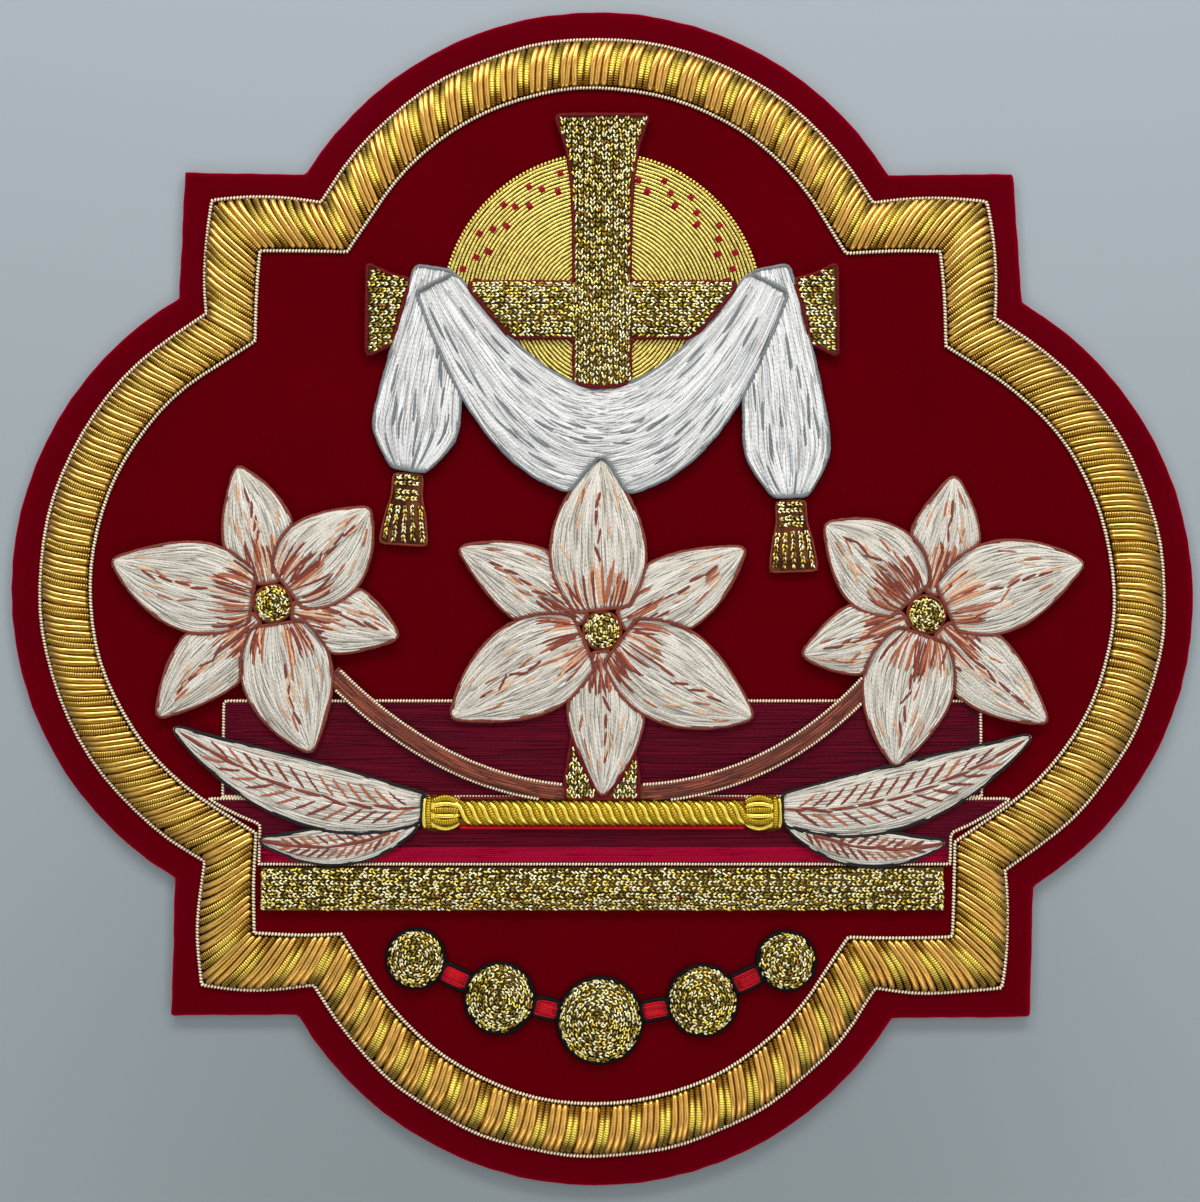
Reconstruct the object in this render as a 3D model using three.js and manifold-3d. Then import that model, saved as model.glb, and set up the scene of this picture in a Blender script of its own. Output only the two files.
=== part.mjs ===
// A church banner emblem: a barbed quatrefoil cut from red velvet, with a padded gold border between two
// gold twists and raised embroidery on its field. The field has a gold cross draped with white cloth on a
// gold disc, three lilies with leaves over two burgundy steps, a gold braid, and a garland of roundels.
// Millimetres, +Z up. The emblem lies flat on its back, and the origin is under its middle.

import * as THREE from "three";
import { mergeVertices } from "three/addons/utils/BufferGeometryUtils.js";
import Module from "manifold-3d";

const wasm = await Module();
wasm.setup();

// The velvet panel with its stiff backing.
const PANEL_THICKNESS = 2.0;
const ARC_STEPS = 28;

// The sewn work stands on the velvet's pile, a little above its ground, and neighbours keep the same gap.
const GAP = 0.3;
const WORK_BASE = PANEL_THICKNESS + GAP;

// The border, as distances in from the velvet's edge.
const OUTER_TWIST_INSET = 5.7;
const INNER_TWIST_INSET = 15.0;
const TWIST_RADIUS = 0.5;
const TWIST_SIDES = 6;
const BAND_EDGE_HEIGHT = 0.5;
const BAND_CROWN = 1.5;
const BAND_STEPS_ACROSS = 5;

// The four round lobes, anticlockwise. The emblem is cut by hand, so no two are quite alike.
const LOBES = [
  { side: "right", x: 46.6, y: -0.9, radius: 63.6, meets: "flank" },
  { side: "top", x: -1.0, y: 45.6, radius: 64.0, meets: "cap" },
  { side: "left", x: -47.3, y: 0.7, radius: 62.9, meets: "flank" },
  { side: "bottom", x: -1.2, y: -45.5, radius: 64.1, meets: "cap" },
];

// The four square barbs, each following the lobe of the same row. A barb's cap and flank run from its
// point (x, y) to the notches against its two lobes, at height capY and at width flankX.
const BARBS = [
  { name: "north_east", x: 77.7, y: 78.4, flankX: 79.0, capY: 78.2 },
  { name: "north_west", x: -78.8, y: 78.7, flankX: -79.7, capY: 78.3 },
  { name: "south_west", x: -79.3, y: -78.8, flankX: -79.0, capY: -78.7 },
  { name: "south_east", x: 78.7, y: -79.1, flankX: 79.7, capY: -79.3 },
];
const NOTCH_REACH = 54.5;

// Flat work lies straight on the velvet. Raised work may lie over it, so its rim is higher than the low
// rim of what lies only on velvet. A piece's crown is its height above its rim. A bit that cutting leaves
// of a piece is dropped if its volume is under a crumb's.
const FLAT_HEIGHT = 0.4;
const RIM = 1.1;
const LOW_RIM = 0.5;
const FIELD_INSET = INNER_TWIST_INSET + TWIST_RADIUS + GAP;
const CRUMB = 8;
const CUTTER_FOOT = 1;
const CUTTER_TOP = 12;

// The cross behind the drape, and the gold disc under the cross.
const CROSS = { armY: 52, top: 89, foot: -41, reach: 44, halfWidth: 5.2, flare: 3.6, crown: 1.0 };
const DISC = { x: 0, y: 52, radius: 30, segments: 60 };

// Each lily has three front petals over three back ones round a gold throat. Turn is the first front
// petal's direction, and far is how much longer the petals are on the side that faces lean.
const LILIES = [
  { name: "lily_middle", x: 0, y: -8, reach: 32, width: 17.5, turn: 90, lean: 270, far: 0.0 },
  { name: "lily_left", x: -61, y: -3, reach: 28, width: 16.5, turn: 165, lean: 200, far: 0.12 },
  { name: "lily_right", x: 60, y: -5, reach: 28, width: 16.5, turn: 18, lean: 340, far: 0.12 },
];
const PETALS = 6;
const BACK_PETAL_SHARE = { reach: 0.95, width: 0.8 };
const PETAL_BEND = 0.09;
const THROAT = { radius: 3.4, crown: 1.0, segments: 16 };
const PETAL_CROWN = 1.1;

// Strips along a curve from base through bend to tip: stems, leaves and the parts of the drape.
const STEMS = [
  { name: "stem_left", base: [-7, -38], bend: [-30, -36], tip: [-50, -16], width: 3.4 },
  { name: "stem_right", base: [7, -38], bend: [31, -37], tip: [49, -18], width: 3.4 },
];
const LEAVES = [
  { name: "leaf_left_long", base: [-30, -40.2], bend: [-53, -43], tip: [-79, -26], width: 11.5 },
  { name: "leaf_left_short", base: [-34, -43], bend: [-47, -50], tip: [-63, -46.5], width: 7 },
  { name: "leaf_right_long", base: [30, -40.5], bend: [53, -43.5], tip: [79, -27.5], width: 11.5 },
  { name: "leaf_right_short", base: [34, -43], bend: [47, -50.5], tip: [63, -47], width: 7 },
];
const SWAG = { base: [-31, 57], bend: [0, -3], tip: [31, 57], width: 20, ends: 0.4, crown: 1.3, folds: 3 };
const TAILS = [
  { name: "drape_tail_left", base: [-30, 59.5], bend: [-33, 42], tip: [-36, 22], width: 16, top: 0.62 },
  { name: "drape_tail_right", base: [30, 59.5], bend: [34, 40], tip: [35, 17], width: 16, top: 0.62 },
];
const TASSELS = [
  { name: "tassel_left", base: [-36.1, 21.2], tip: [-37, 8], head: 5.5, skirt: 9 },
  { name: "tassel_right", base: [35.1, 16.2], tip: [35.6, 3], head: 5.5, skirt: 9 },
];

// The foot: a gold rod with knobbed ends over two burgundy steps, and a gold braid along their bottom.
const ROD = { y: -41.6, reach: 33, halfWidth: 2.3, knob: 3.4, crown: 1.2 };
const STEPS = [
  { name: "step_upper", top: -21, bottom: -38.6, reach: 70 },
  { name: "step_lower", top: -39, bottom: -51, reach: 80 },
];
const BRAID = { top: -51.6, bottom: -59.4, reach: 62.8, crown: 0.8 };

// The garland of gold roundels along the bottom lobe, with a red bar between neighbours.
const ROUNDELS = [
  { name: "roundel_far_left", x: -34.2, y: -68.2, radius: 5.2 },
  { name: "roundel_left", x: -18.8, y: -75.4, radius: 6.2 },
  { name: "roundel_middle", x: -0.4, y: -79.4, radius: 7.6 },
  { name: "roundel_right", x: 18.4, y: -75.8, radius: 6.2 },
  { name: "roundel_far_right", x: 33.8, y: -68.6, radius: 5.2 },
];
const ROUNDEL = { rim: LOW_RIM, crown: 1.3, segments: 24 };
const BAR = { width: 3.4, crown: 0.5 };

const MATERIALS = {
  velvet: finish(0x5a0510, 0.95, 0),
  gold_purl: finish(0xc99b3c, 0.35, 0.9),
  gold_twist: finish(0xd9c48a, 0.4, 0.8),
  gold_couching: finish(0xc4a437, 0.45, 0.8),
  gold_chain: finish(0xa8893b, 0.45, 0.8),
  cream_silk: finish(0xd8cdbd, 0.7, 0),
  white_silk: finish(0xdfdcda, 0.7, 0),
  brown_silk: finish(0x6e2c1b, 0.7, 0),
  burgundy_silk: finish(0x4a0f1c, 0.7, 0),
  red_silk: finish(0xb5121d, 0.6, 0),
};

function finish(color, roughness, metalness) {
  return new THREE.MeshStandardMaterial({ color, roughness, metalness });
}

// Plane geometry of the outline.

function pointOn(centre, radius, angle) {
  return new THREE.Vector2(centre.x + radius * Math.cos(angle), centre.y + radius * Math.sin(angle));
}

// A side of a barb as a line: a point on it, its direction, and the way in from it.
function barbSide(barb, kind, inset) {
  const point = new THREE.Vector2(barb.x, barb.y);
  const notch =
    kind === "cap"
      ? new THREE.Vector2(Math.sign(barb.x) * NOTCH_REACH, barb.capY)
      : new THREE.Vector2(barb.flankX, Math.sign(barb.y) * NOTCH_REACH);
  const along = notch.clone().sub(point).normalize();
  const inward = new THREE.Vector2(-along.y, along.x);
  if (inward.dot(point) > 0) inward.negate();
  return { point: point.addScaledVector(inward, inset), along };
}

function crossing(a, b) {
  const between = b.point.clone().sub(a.point);
  const share = between.cross(b.along) / a.along.cross(b.along);
  return a.point.clone().addScaledVector(a.along, share);
}

// Where a barb's side meets a lobe's circle: the meeting that comes first from the barb's point.
function notchOn(line, lobe, inset) {
  const centre = new THREE.Vector2(lobe.x, lobe.y);
  const radius = lobe.radius - inset;
  const toCentre = centre.clone().sub(line.point);
  const nearest = toCentre.dot(line.along);
  const off = toCentre.lengthSq() - nearest * nearest;
  return line.point.clone().addScaledVector(line.along, nearest - Math.sqrt(radius * radius - off));
}

// The emblem's outline, a distance in from the velvet's edge, anticlockwise. Every inset gives the same
// number of points, so outlines of two insets pair up point by point.
function outline(inset) {
  const points = [];
  LOBES.forEach((lobe, i) => {
    const before = BARBS[(i + BARBS.length - 1) % BARBS.length];
    const after = BARBS[i];
    const start = notchOn(barbSide(before, lobe.meets, inset), lobe, inset);
    const end = notchOn(barbSide(after, lobe.meets, inset), lobe, inset);
    const from = Math.atan2(start.y - lobe.y, start.x - lobe.x);
    let to = Math.atan2(end.y - lobe.y, end.x - lobe.x);
    if (to < from) to += 2 * Math.PI;
    for (let k = 0; k <= ARC_STEPS; k++) {
      const angle = from + ((to - from) * k) / ARC_STEPS;
      points.push(pointOn(lobe, lobe.radius - inset, angle));
    }
    points.push(crossing(barbSide(after, "cap", inset), barbSide(after, "flank", inset)));
  });
  return points;
}

// Meshes and solids.

function geometryOf(positions, triangles) {
  const geometry = new THREE.BufferGeometry();
  geometry.setAttribute("position", new THREE.Float32BufferAttribute(positions, 3));
  geometry.setIndex(triangles);
  return geometry;
}

function solidOf(geometry) {
  const bare = geometry.clone();
  bare.deleteAttribute("normal");
  bare.deleteAttribute("uv");
  const merged = mergeVertices(bare, 1e-4);
  const vertProperties = new Float32Array(merged.attributes.position.array);
  const triVerts = new Uint32Array(merged.index.array);
  const solid = new wasm.Manifold(new wasm.Mesh({ numProp: 3, vertProperties, triVerts }));
  if (solid.volume() > 0) return solid;
  for (let i = 0; i < triVerts.length; i += 3) {
    [triVerts[i + 1], triVerts[i + 2]] = [triVerts[i + 2], triVerts[i + 1]];
  }
  return new wasm.Manifold(new wasm.Mesh({ numProp: 3, vertProperties, triVerts }));
}

function meshOf(name, solid, material) {
  const mesh = solid.getMesh();
  const mesh3 = new THREE.Mesh(geometryOf(mesh.vertProperties, Array.from(mesh.triVerts)), material);
  mesh3.name = name;
  return mesh3;
}

// A ring closed both ways: loops of equal length, each joined to the next and the last to the first.
function ringSolid(loops) {
  const count = loops[0].length;
  const positions = loops.flat().flatMap((p) => [p.x, p.y, p.z]);
  const triangles = [];
  loops.forEach((_, j) => {
    const next = (j + 1) % loops.length;
    for (let k = 0; k < count; k++) {
      const after = (k + 1) % count;
      const [a, b] = [j * count + k, j * count + after];
      const [c, d] = [next * count + k, next * count + after];
      triangles.push(a, b, d, a, d, c);
    }
  });
  return solidOf(geometryOf(positions, triangles));
}

function loopAt(inset, z) {
  return outline(inset).map((p) => new THREE.Vector3(p.x, p.y, z));
}

// A grid of rows of plan points [x, y], flat below and raised by height(i, j) above.
function raisedGrid(rows, height) {
  const across = rows[0].length;
  const positions = [];
  const triangles = [];
  const under = rows.length * across;
  for (const level of ["top", "bottom"]) {
    rows.forEach((row, i) =>
      row.forEach((p, j) => positions.push(p.x, p.y, level === "top" ? height(i, j) : WORK_BASE)),
    );
  }
  const quad = (a, b, c, d) => triangles.push(a, b, c, a, c, d);
  for (let i = 0; i + 1 < rows.length; i++) {
    for (let j = 0; j + 1 < across; j++) {
      const a = i * across + j;
      quad(a, a + 1, a + across + 1, a + across);
      quad(under + a + across, under + a + across + 1, under + a + 1, under + a);
    }
    const left = i * across;
    const right = left + across - 1;
    quad(left + across, under + left + across, under + left, left);
    quad(right, under + right, under + right + across, right + across);
  }
  for (let j = 0; j + 1 < across; j++) {
    const last = (rows.length - 1) * across + j;
    quad(j + 1, j, under + j, under + j + 1);
    quad(last, last + 1, under + last + 1, under + last);
  }
  return solidOf(geometryOf(positions, triangles));
}

// Strips. A strip has a curve, a half width along it, a rim, a crown and steps along and across.
// Its relief is the share of the crown at v, from -1 to 1 across it.

function curveThrough([bx, by], [mx, my], [tx, ty]) {
  return new THREE.QuadraticBezierCurve(
    new THREE.Vector2(bx, by),
    new THREE.Vector2(mx, my),
    new THREE.Vector2(tx, ty),
  );
}

function lineFrom(base, tip) {
  return curveThrough(base, [(base[0] + tip[0]) / 2, (base[1] + tip[1]) / 2], tip);
}

// The strip's plan points at share t along it and v from -1 to 1 across it, grown by a margin.
function planPoint(strip, t, v, margin) {
  const at = strip.curve.getPoint(t);
  const along = strip.curve.getTangent(t);
  const half = strip.halfWidth(t) + margin;
  const past = t === 0 ? -margin : t === 1 ? margin : 0;
  return new THREE.Vector2(
    at.x - along.y * half * v + along.x * past,
    at.y + along.x * half * v + along.y * past,
  );
}

function rounded(v) {
  return Math.sqrt(1 - v * v);
}

function folded(folds) {
  return (v) => rounded(v) * (0.68 + 0.32 * Math.cos(Math.PI * (folds - 1) * v));
}

function stripSolid(strip) {
  const { along = 10, across = 4, rim = RIM, crown, relief = rounded } = strip;
  const rows = [];
  for (let i = 0; i <= along; i++) {
    rows.push([]);
    for (let j = 0; j <= across; j++) rows[i].push(planPoint(strip, i / along, (2 * j) / across - 1, 0));
  }
  const height = (i, j) => {
    const ends = Math.min(1, (3 * Math.min(i, along - i)) / along + 0.2);
    return WORK_BASE + rim + crown * ends * relief((2 * j) / across - 1);
  };
  return raisedGrid(rows, height);
}

// What a strip takes away from the work that lies under it: its plan, grown by the gap, as a tall block.
function stripCutter(strip) {
  const { along = 10 } = strip;
  const side = (v) => Array.from({ length: along + 1 }, (_, i) => planPoint(strip, i / along, v, GAP));
  return blockOf([...side(-1), ...side(1).reverse()], CUTTER_FOOT, CUTTER_TOP);
}

// An upright block over a plan outline, between two heights.
function blockOf(points, foot, top) {
  const shape = new THREE.Shape(points);
  const geometry = new THREE.ExtrudeGeometry(shape, { depth: top - foot, bevelEnabled: false });
  geometry.translate(0, 0, foot);
  return solidOf(geometry);
}

function circle({ x, y, radius, segments }, margin) {
  const angles = Array.from({ length: segments }, (_, i) => (2 * Math.PI * i) / segments);
  return angles.map((angle) => pointOn({ x, y }, radius + margin, angle));
}

function rectangle({ top, bottom, reach }, margin) {
  const corners = [
    [-reach - margin, bottom - margin],
    [reach + margin, bottom - margin],
    [reach + margin, top + margin],
    [-reach - margin, top + margin],
  ];
  return corners.map(([x, y]) => new THREE.Vector2(x, y));
}

// A round piece with a rim and a crown, turned about its own middle.
function domeSolid({ x, y, radius, segments, rim, crown }) {
  const profile = [
    [0, 0],
    [radius, 0],
    [radius, rim],
    [0.85 * radius, rim + 0.5 * crown],
    [0.5 * radius, rim + 0.9 * crown],
    [0, rim + crown],
  ];
  const geometry = new THREE.LatheGeometry(
    profile.map(([r, z]) => new THREE.Vector2(r, z)),
    segments,
  );
  geometry.rotateX(Math.PI / 2);
  geometry.translate(x, y, WORK_BASE);
  return solidOf(geometry);
}

// The whole emblem. Flat work is laid first. Raised work is laid from the top piece down: each piece is cut
// back by all that lies over it, and from below where it lies over flat work.

const emblem = new THREE.Group();
const under = [];
const over = [];

function layFlat(name, plan, material) {
  const field = blockOf(outline(FIELD_INSET), CUTTER_FOOT, CUTTER_TOP);
  const solid = blockOf(plan(0), WORK_BASE, WORK_BASE + FLAT_HEIGHT).intersect(field);
  under.push(blockOf(plan(GAP), CUTTER_FOOT, WORK_BASE + FLAT_HEIGHT + GAP));
  emblem.add(meshOf(name, solid, material));
}

function lay(name, solid, cutter, material) {
  let left = solid;
  for (const other of [...under, ...over]) left = left.subtract(other);
  over.push(cutter);
  const bodies = left.decompose().filter((body) => body.volume() > CRUMB);
  bodies.forEach((body, i) => {
    emblem.add(meshOf(bodies.length === 1 ? name : `${name}_${i + 1}`, body, material));
  });
}

function layStrip(name, strip, material) {
  lay(name, stripSolid(strip), stripCutter(strip), material);
}

function layDome(name, dome, material) {
  lay(name, domeSolid(dome), blockOf(circle(dome, GAP), CUTTER_FOOT, CUTTER_TOP), material);
}

function petal(lily, index) {
  const back = index % 2 === 1;
  const share = back ? BACK_PETAL_SHARE : { reach: 1, width: 1 };
  const angle = THREE.MathUtils.degToRad(lily.turn + (360 * index) / PETALS);
  const toLean = Math.cos(angle - THREE.MathUtils.degToRad(lily.lean));
  const reach = lily.reach * share.reach * (1 + lily.far * toLean);
  const start = THROAT.radius + 2 * GAP;
  const bend = angle + (index % 3 === 0 ? PETAL_BEND : -PETAL_BEND);
  const half = (lily.width * share.width) / 2;
  return {
    curve: new THREE.QuadraticBezierCurve(
      pointOn(lily, start, angle),
      pointOn(lily, (start + reach) / 2, bend),
      pointOn(lily, reach, angle),
    ),
    halfWidth: (t) => Math.max(0.35, half * Math.sin(Math.PI * (0.12 + 0.88 * t) ** 0.85) ** 0.8),
    crown: PETAL_CROWN,
  };
}

function layLily(lily) {
  const { x, y } = lily;
  layDome(`${lily.name}_throat`, { ...THROAT, x, y, rim: RIM }, MATERIALS.gold_chain);
  const indexes = [...Array(PETALS).keys()];
  const fronts = indexes.filter((index) => index % 2 === 0);
  const backs = indexes.filter((index) => index % 2 === 1);
  for (const index of [...fronts, ...backs]) {
    layStrip(`${lily.name}_petal_${index + 1}`, petal(lily, index), MATERIALS.cream_silk);
  }
}

function layTassel({ name, base, tip, head, skirt }) {
  const headShare = 0.35;
  const spread = (t) => Math.max(0, (t - headShare) / (1 - headShare)) ** 0.6;
  const halfWidth = (t) => (head + (skirt - head) * spread(t)) / 2;
  const strip = { curve: lineFrom(base, tip), halfWidth, rim: LOW_RIM, crown: 0.9, along: 6 };
  layStrip(name, strip, MATERIALS.gold_chain);
}

function laySwag({ base, bend, tip, width, ends, crown, folds }) {
  const halfWidth = (t) => (width / 2) * (ends + (1 - ends) * Math.sin(Math.PI * t));
  const steps = { along: 16, across: 4 * folds };
  const strip = { curve: curveThrough(base, bend, tip), halfWidth, crown, relief: folded(folds), ...steps };
  layStrip("drape_swag", strip, MATERIALS.white_silk);
}

// A tail widens from its top to four fifths of its length, and is gathered into its tassel.
function layTail({ name, base, bend, tip, width, top }) {
  const gather = 0.8;
  const halfWidth = (t) => {
    const widening = top + (1 - top) * (t / gather);
    const gathered = 1 - 0.62 * (Math.max(0, t - gather) / (1 - gather)) ** 1.4;
    return (width / 2) * (t < gather ? widening : gathered);
  };
  const folds = 2;
  const strip = { curve: curveThrough(base, bend, tip), halfWidth, crown: 1.2, relief: folded(folds) };
  layStrip(name, { ...strip, along: 12, across: 4 * folds }, MATERIALS.white_silk);
}

function layRod() {
  const length = 2 * ROD.reach;
  const knobShare = (2 * ROD.knob) / length;
  const halfWidth = (t) => {
    const fromEnd = Math.min(t, 1 - t);
    const inKnob = Math.sin(Math.PI * Math.min(1, (fromEnd + 0.02) / knobShare));
    return ROD.halfWidth + (fromEnd < knobShare ? (ROD.knob - ROD.halfWidth) * inKnob : 0);
  };
  const curve = lineFrom([-ROD.reach, ROD.y], [ROD.reach, ROD.y]);
  layStrip("gold_rod", { curve, halfWidth, crown: ROD.crown, along: 34 }, MATERIALS.gold_purl);
}

function flared(base, tip) {
  return {
    curve: lineFrom(base, tip),
    halfWidth: (t) => CROSS.halfWidth + CROSS.flare * Math.abs(2 * t - 1) ** 9,
    crown: CROSS.crown,
    along: 20,
  };
}

function layCross() {
  const post = flared([0, CROSS.foot], [0, CROSS.top]);
  const arm = flared([-CROSS.reach, CROSS.armY], [CROSS.reach, CROSS.armY]);
  const solid = stripSolid(post).add(stripSolid(arm));
  lay("cross", solid, stripCutter(post).add(stripCutter(arm)), MATERIALS.gold_chain);
}

function layBraid({ top, bottom, reach, crown }) {
  const middle = (top + bottom) / 2;
  const halfWidth = () => (top - bottom) / 2;
  const curve = lineFrom([-reach, middle], [reach, middle]);
  layStrip("gold_braid", { curve, halfWidth, rim: LOW_RIM, crown, along: 4 }, MATERIALS.gold_chain);
}

function layGarland() {
  for (const { name, x, y, radius } of ROUNDELS) {
    layDome(name, { ...ROUNDEL, x, y, radius }, MATERIALS.gold_chain);
  }
  ROUNDELS.slice(1).forEach((right, i) => {
    const left = ROUNDELS[i];
    const curve = lineFrom([left.x, left.y], [right.x, right.y]);
    const strip = { curve, halfWidth: () => BAR.width / 2, rim: LOW_RIM, crown: BAR.crown, along: 4 };
    layStrip(`red_bar_${i + 1}`, strip, MATERIALS.red_silk);
  });
}

function addPanel() {
  emblem.add(meshOf("velvet_panel", blockOf(outline(0), 0, PANEL_THICKNESS), MATERIALS.velvet));
}

function addTwist(name, inset) {
  const loops = Array.from({ length: TWIST_SIDES }, (_, j) => {
    const angle = (2 * Math.PI * j) / TWIST_SIDES;
    const z = WORK_BASE + TWIST_RADIUS * (1 + Math.sin(angle));
    return loopAt(inset + TWIST_RADIUS * Math.cos(angle), z);
  });
  emblem.add(meshOf(name, ringSolid(loops), MATERIALS.gold_twist));
}

function addBand() {
  const from = OUTER_TWIST_INSET + TWIST_RADIUS + GAP;
  const to = INNER_TWIST_INSET - TWIST_RADIUS - GAP;
  const loops = [loopAt(from, WORK_BASE)];
  for (let j = 0; j <= BAND_STEPS_ACROSS; j++) {
    const share = j / BAND_STEPS_ACROSS;
    const z = WORK_BASE + BAND_EDGE_HEIGHT + BAND_CROWN * Math.sin(Math.PI * share);
    loops.push(loopAt(from + (to - from) * share, z));
  }
  loops.push(loopAt(to, WORK_BASE));
  emblem.add(meshOf("gold_border", ringSolid(loops), MATERIALS.gold_purl));
}

addPanel();
addBand();
addTwist("outer_twist", OUTER_TWIST_INSET);
addTwist("inner_twist", INNER_TWIST_INSET);
layFlat("gold_disc", (margin) => circle(DISC, margin), MATERIALS.gold_couching);
for (const step of STEPS) layFlat(step.name, (margin) => rectangle(step, margin), MATERIALS.burgundy_silk);
LILIES.forEach(layLily);
layRod();
TASSELS.forEach(layTassel);
laySwag(SWAG);
TAILS.forEach(layTail);
for (const { name, base, bend, tip, width } of LEAVES) {
  const halfWidth = (t) => Math.max(0.35, (width / 2) * Math.sin(Math.PI * (0.06 + 0.94 * t)) ** 0.8);
  layStrip(name, { curve: curveThrough(base, bend, tip), halfWidth, crown: 0.9 }, MATERIALS.cream_silk);
}
for (const { name, base, bend, tip, width } of STEMS) {
  const strip = { curve: curveThrough(base, bend, tip), halfWidth: () => width / 2, crown: 0.7 };
  layStrip(name, strip, MATERIALS.brown_silk);
}
layCross();
layBraid(BRAID);
layGarland();

export default emblem;
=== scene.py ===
# The look of an embroidered church banner emblem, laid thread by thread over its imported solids.
# Sizes are in millimetres, and meshes are turned to metres as they are made.

import math
from collections import namedtuple
from functools import partial

import bpy
import numpy as np
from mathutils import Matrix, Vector


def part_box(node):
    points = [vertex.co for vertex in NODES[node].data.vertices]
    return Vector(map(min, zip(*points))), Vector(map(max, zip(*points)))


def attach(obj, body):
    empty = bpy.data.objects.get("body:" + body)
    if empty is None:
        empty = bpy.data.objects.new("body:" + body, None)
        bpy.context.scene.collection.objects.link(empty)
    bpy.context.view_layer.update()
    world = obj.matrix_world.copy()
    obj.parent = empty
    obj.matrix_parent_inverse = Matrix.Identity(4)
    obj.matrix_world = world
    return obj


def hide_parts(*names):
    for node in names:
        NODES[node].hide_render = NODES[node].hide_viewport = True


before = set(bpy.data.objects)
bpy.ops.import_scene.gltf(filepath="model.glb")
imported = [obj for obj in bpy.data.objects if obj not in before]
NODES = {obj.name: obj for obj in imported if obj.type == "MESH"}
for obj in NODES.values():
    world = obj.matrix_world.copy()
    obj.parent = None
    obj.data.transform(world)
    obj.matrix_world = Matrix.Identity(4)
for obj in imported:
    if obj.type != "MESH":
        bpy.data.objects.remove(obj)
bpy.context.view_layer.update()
MM = 0.001
TURN = 2 * math.pi
RNG = np.random.default_rng(11)

# The photograph's frame and camera: its width and focal length in pixels, and the camera's place.
PHOTO_WIDTH = 1200
FOCAL_LENGTH = 1651
CAMERA_DISTANCE = 309.2
CAMERA_TILT = math.radians(3)
CAMERA_AIM = (-0.4, -2.35)

# The border, as distances in from the velvet's edge.
OUTER_TWIST_INSET = 5.7
INNER_TWIST_INSET = 15.0
PURL_OUTER_INSET = 6.1
PURL_INNER_INSET = 14.6
PURL_PITCH = 1.15
PURL_RADIUS = 0.6
SMOOTH_PURLS = 3
ROUGH_PURLS = 2
TWIST_PITCH = 0.6
TWIST_RADIUS = 0.36
FINE_TWIST_PITCH = 0.55
FINE_TWIST_RADIUS = 0.3


# Colours, named as they look in daylight and turned to the renderer's linear values.

def linear(red, green, blue):
    """A colour of 0 to 255 steps as linear values."""
    steps = np.array([red, green, blue]) / 255
    return np.where(steps <= 0.04045, steps / 12.92, ((steps + 0.055) / 1.055) ** 2.4)


def mixed(first, last, share):
    """The value at a share of the way from the first to the last."""
    return first + (last - first) * share


# Purl golds: the pale one is a painted highlight on outer ends, the olive one painted shade on purls that
# lie level, the flash a painted glint, and the bronze and end shade are painted shade on rough purls' ends.
GOLD_END_PAINTED_HIGHLIGHT = linear(225, 172, 86)
GOLD_WARM = linear(231, 178, 89)
GOLD_OLIVE = linear(204, 152, 38)
GOLD_PAINTED_FLASH = linear(252, 224, 98)
GOLD_BRONZE = linear(138, 94, 28)
GOLD_END_PAINTED_SHADE = linear(130, 106, 46)
GOLD_ROUGH = linear(180, 148, 38)
GOLD_IVORY = linear(255, 236, 200)
GOLD_DISC = linear(253, 226, 122)
GOLD_PAINTED_GLINT = linear(255, 243, 188)
GOLD_DULL = linear(144, 120, 44)
GOLD_RUST = linear(186, 124, 52)
# A dark gold for the padding under chain stitch, painted shade in the gaps between links.
GOLD_PAINTED_GAP_SHADE = linear(80, 62, 24)
GOLD_PAINTED_HIGHLIGHT_LINE = linear(252, 214, 130)
# The dark core under twists, painted shade in the gaps between turns.
CORE_PAINTED_SHADE = linear(50, 26, 4)
SILK_BROWN = linear(118, 50, 34)
SILK_RUST = linear(162, 92, 62)
SILK_TAN = linear(204, 160, 126)
SILK_BLACK = linear(6, 5, 7)
SILK_GREY = linear(112, 118, 120)
SILK_SILVER = linear(178, 182, 184)
SILK_MAROON = linear(92, 14, 18)
SILK_SCARLET = linear(178, 4, 24)

# Palettes: colours, and how often each is picked.
CREAM = ([linear(199, 193, 180), linear(178, 170, 157), linear(212, 206, 195)], [6, 3, 3])
WHITE = ([linear(209, 208, 205), linear(188, 188, 187), linear(222, 221, 218)], [6, 3, 3])
BROWN = ([linear(110, 48, 32), linear(84, 34, 24), linear(136, 66, 42)], [5, 2, 2])
BURGUNDY = ([linear(82, 1, 23), linear(76, 1, 21)], [3, 1])
CRIMSON = ([linear(140, 0, 38)], [1])
SCARLET = ([SILK_SCARLET, linear(150, 1, 20)], [2, 1])
BRICK = ([linear(138, 8, 24)], [1])
# In the chain palette the pale and flash golds are painted glints and the dull gold painted shade, picked at
# random.
CHAIN = ([GOLD_PAINTED_GLINT, GOLD_PAINTED_FLASH, GOLD_DULL, GOLD_RUST], [7, 3, 5, 0.4])
RAYS = ([SILK_BROWN, SILK_RUST, SILK_TAN], [5, 3, 2])
RIBS = ([SILK_BROWN], [1])
VEINS = ([SILK_BROWN, SILK_RUST], [2, 1])
FLECKS = ([SILK_TAN, SILK_RUST], [2, 1])
FOLDS = ([SILK_GREY, SILK_SILVER], [4, 1])


# Materials.

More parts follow.
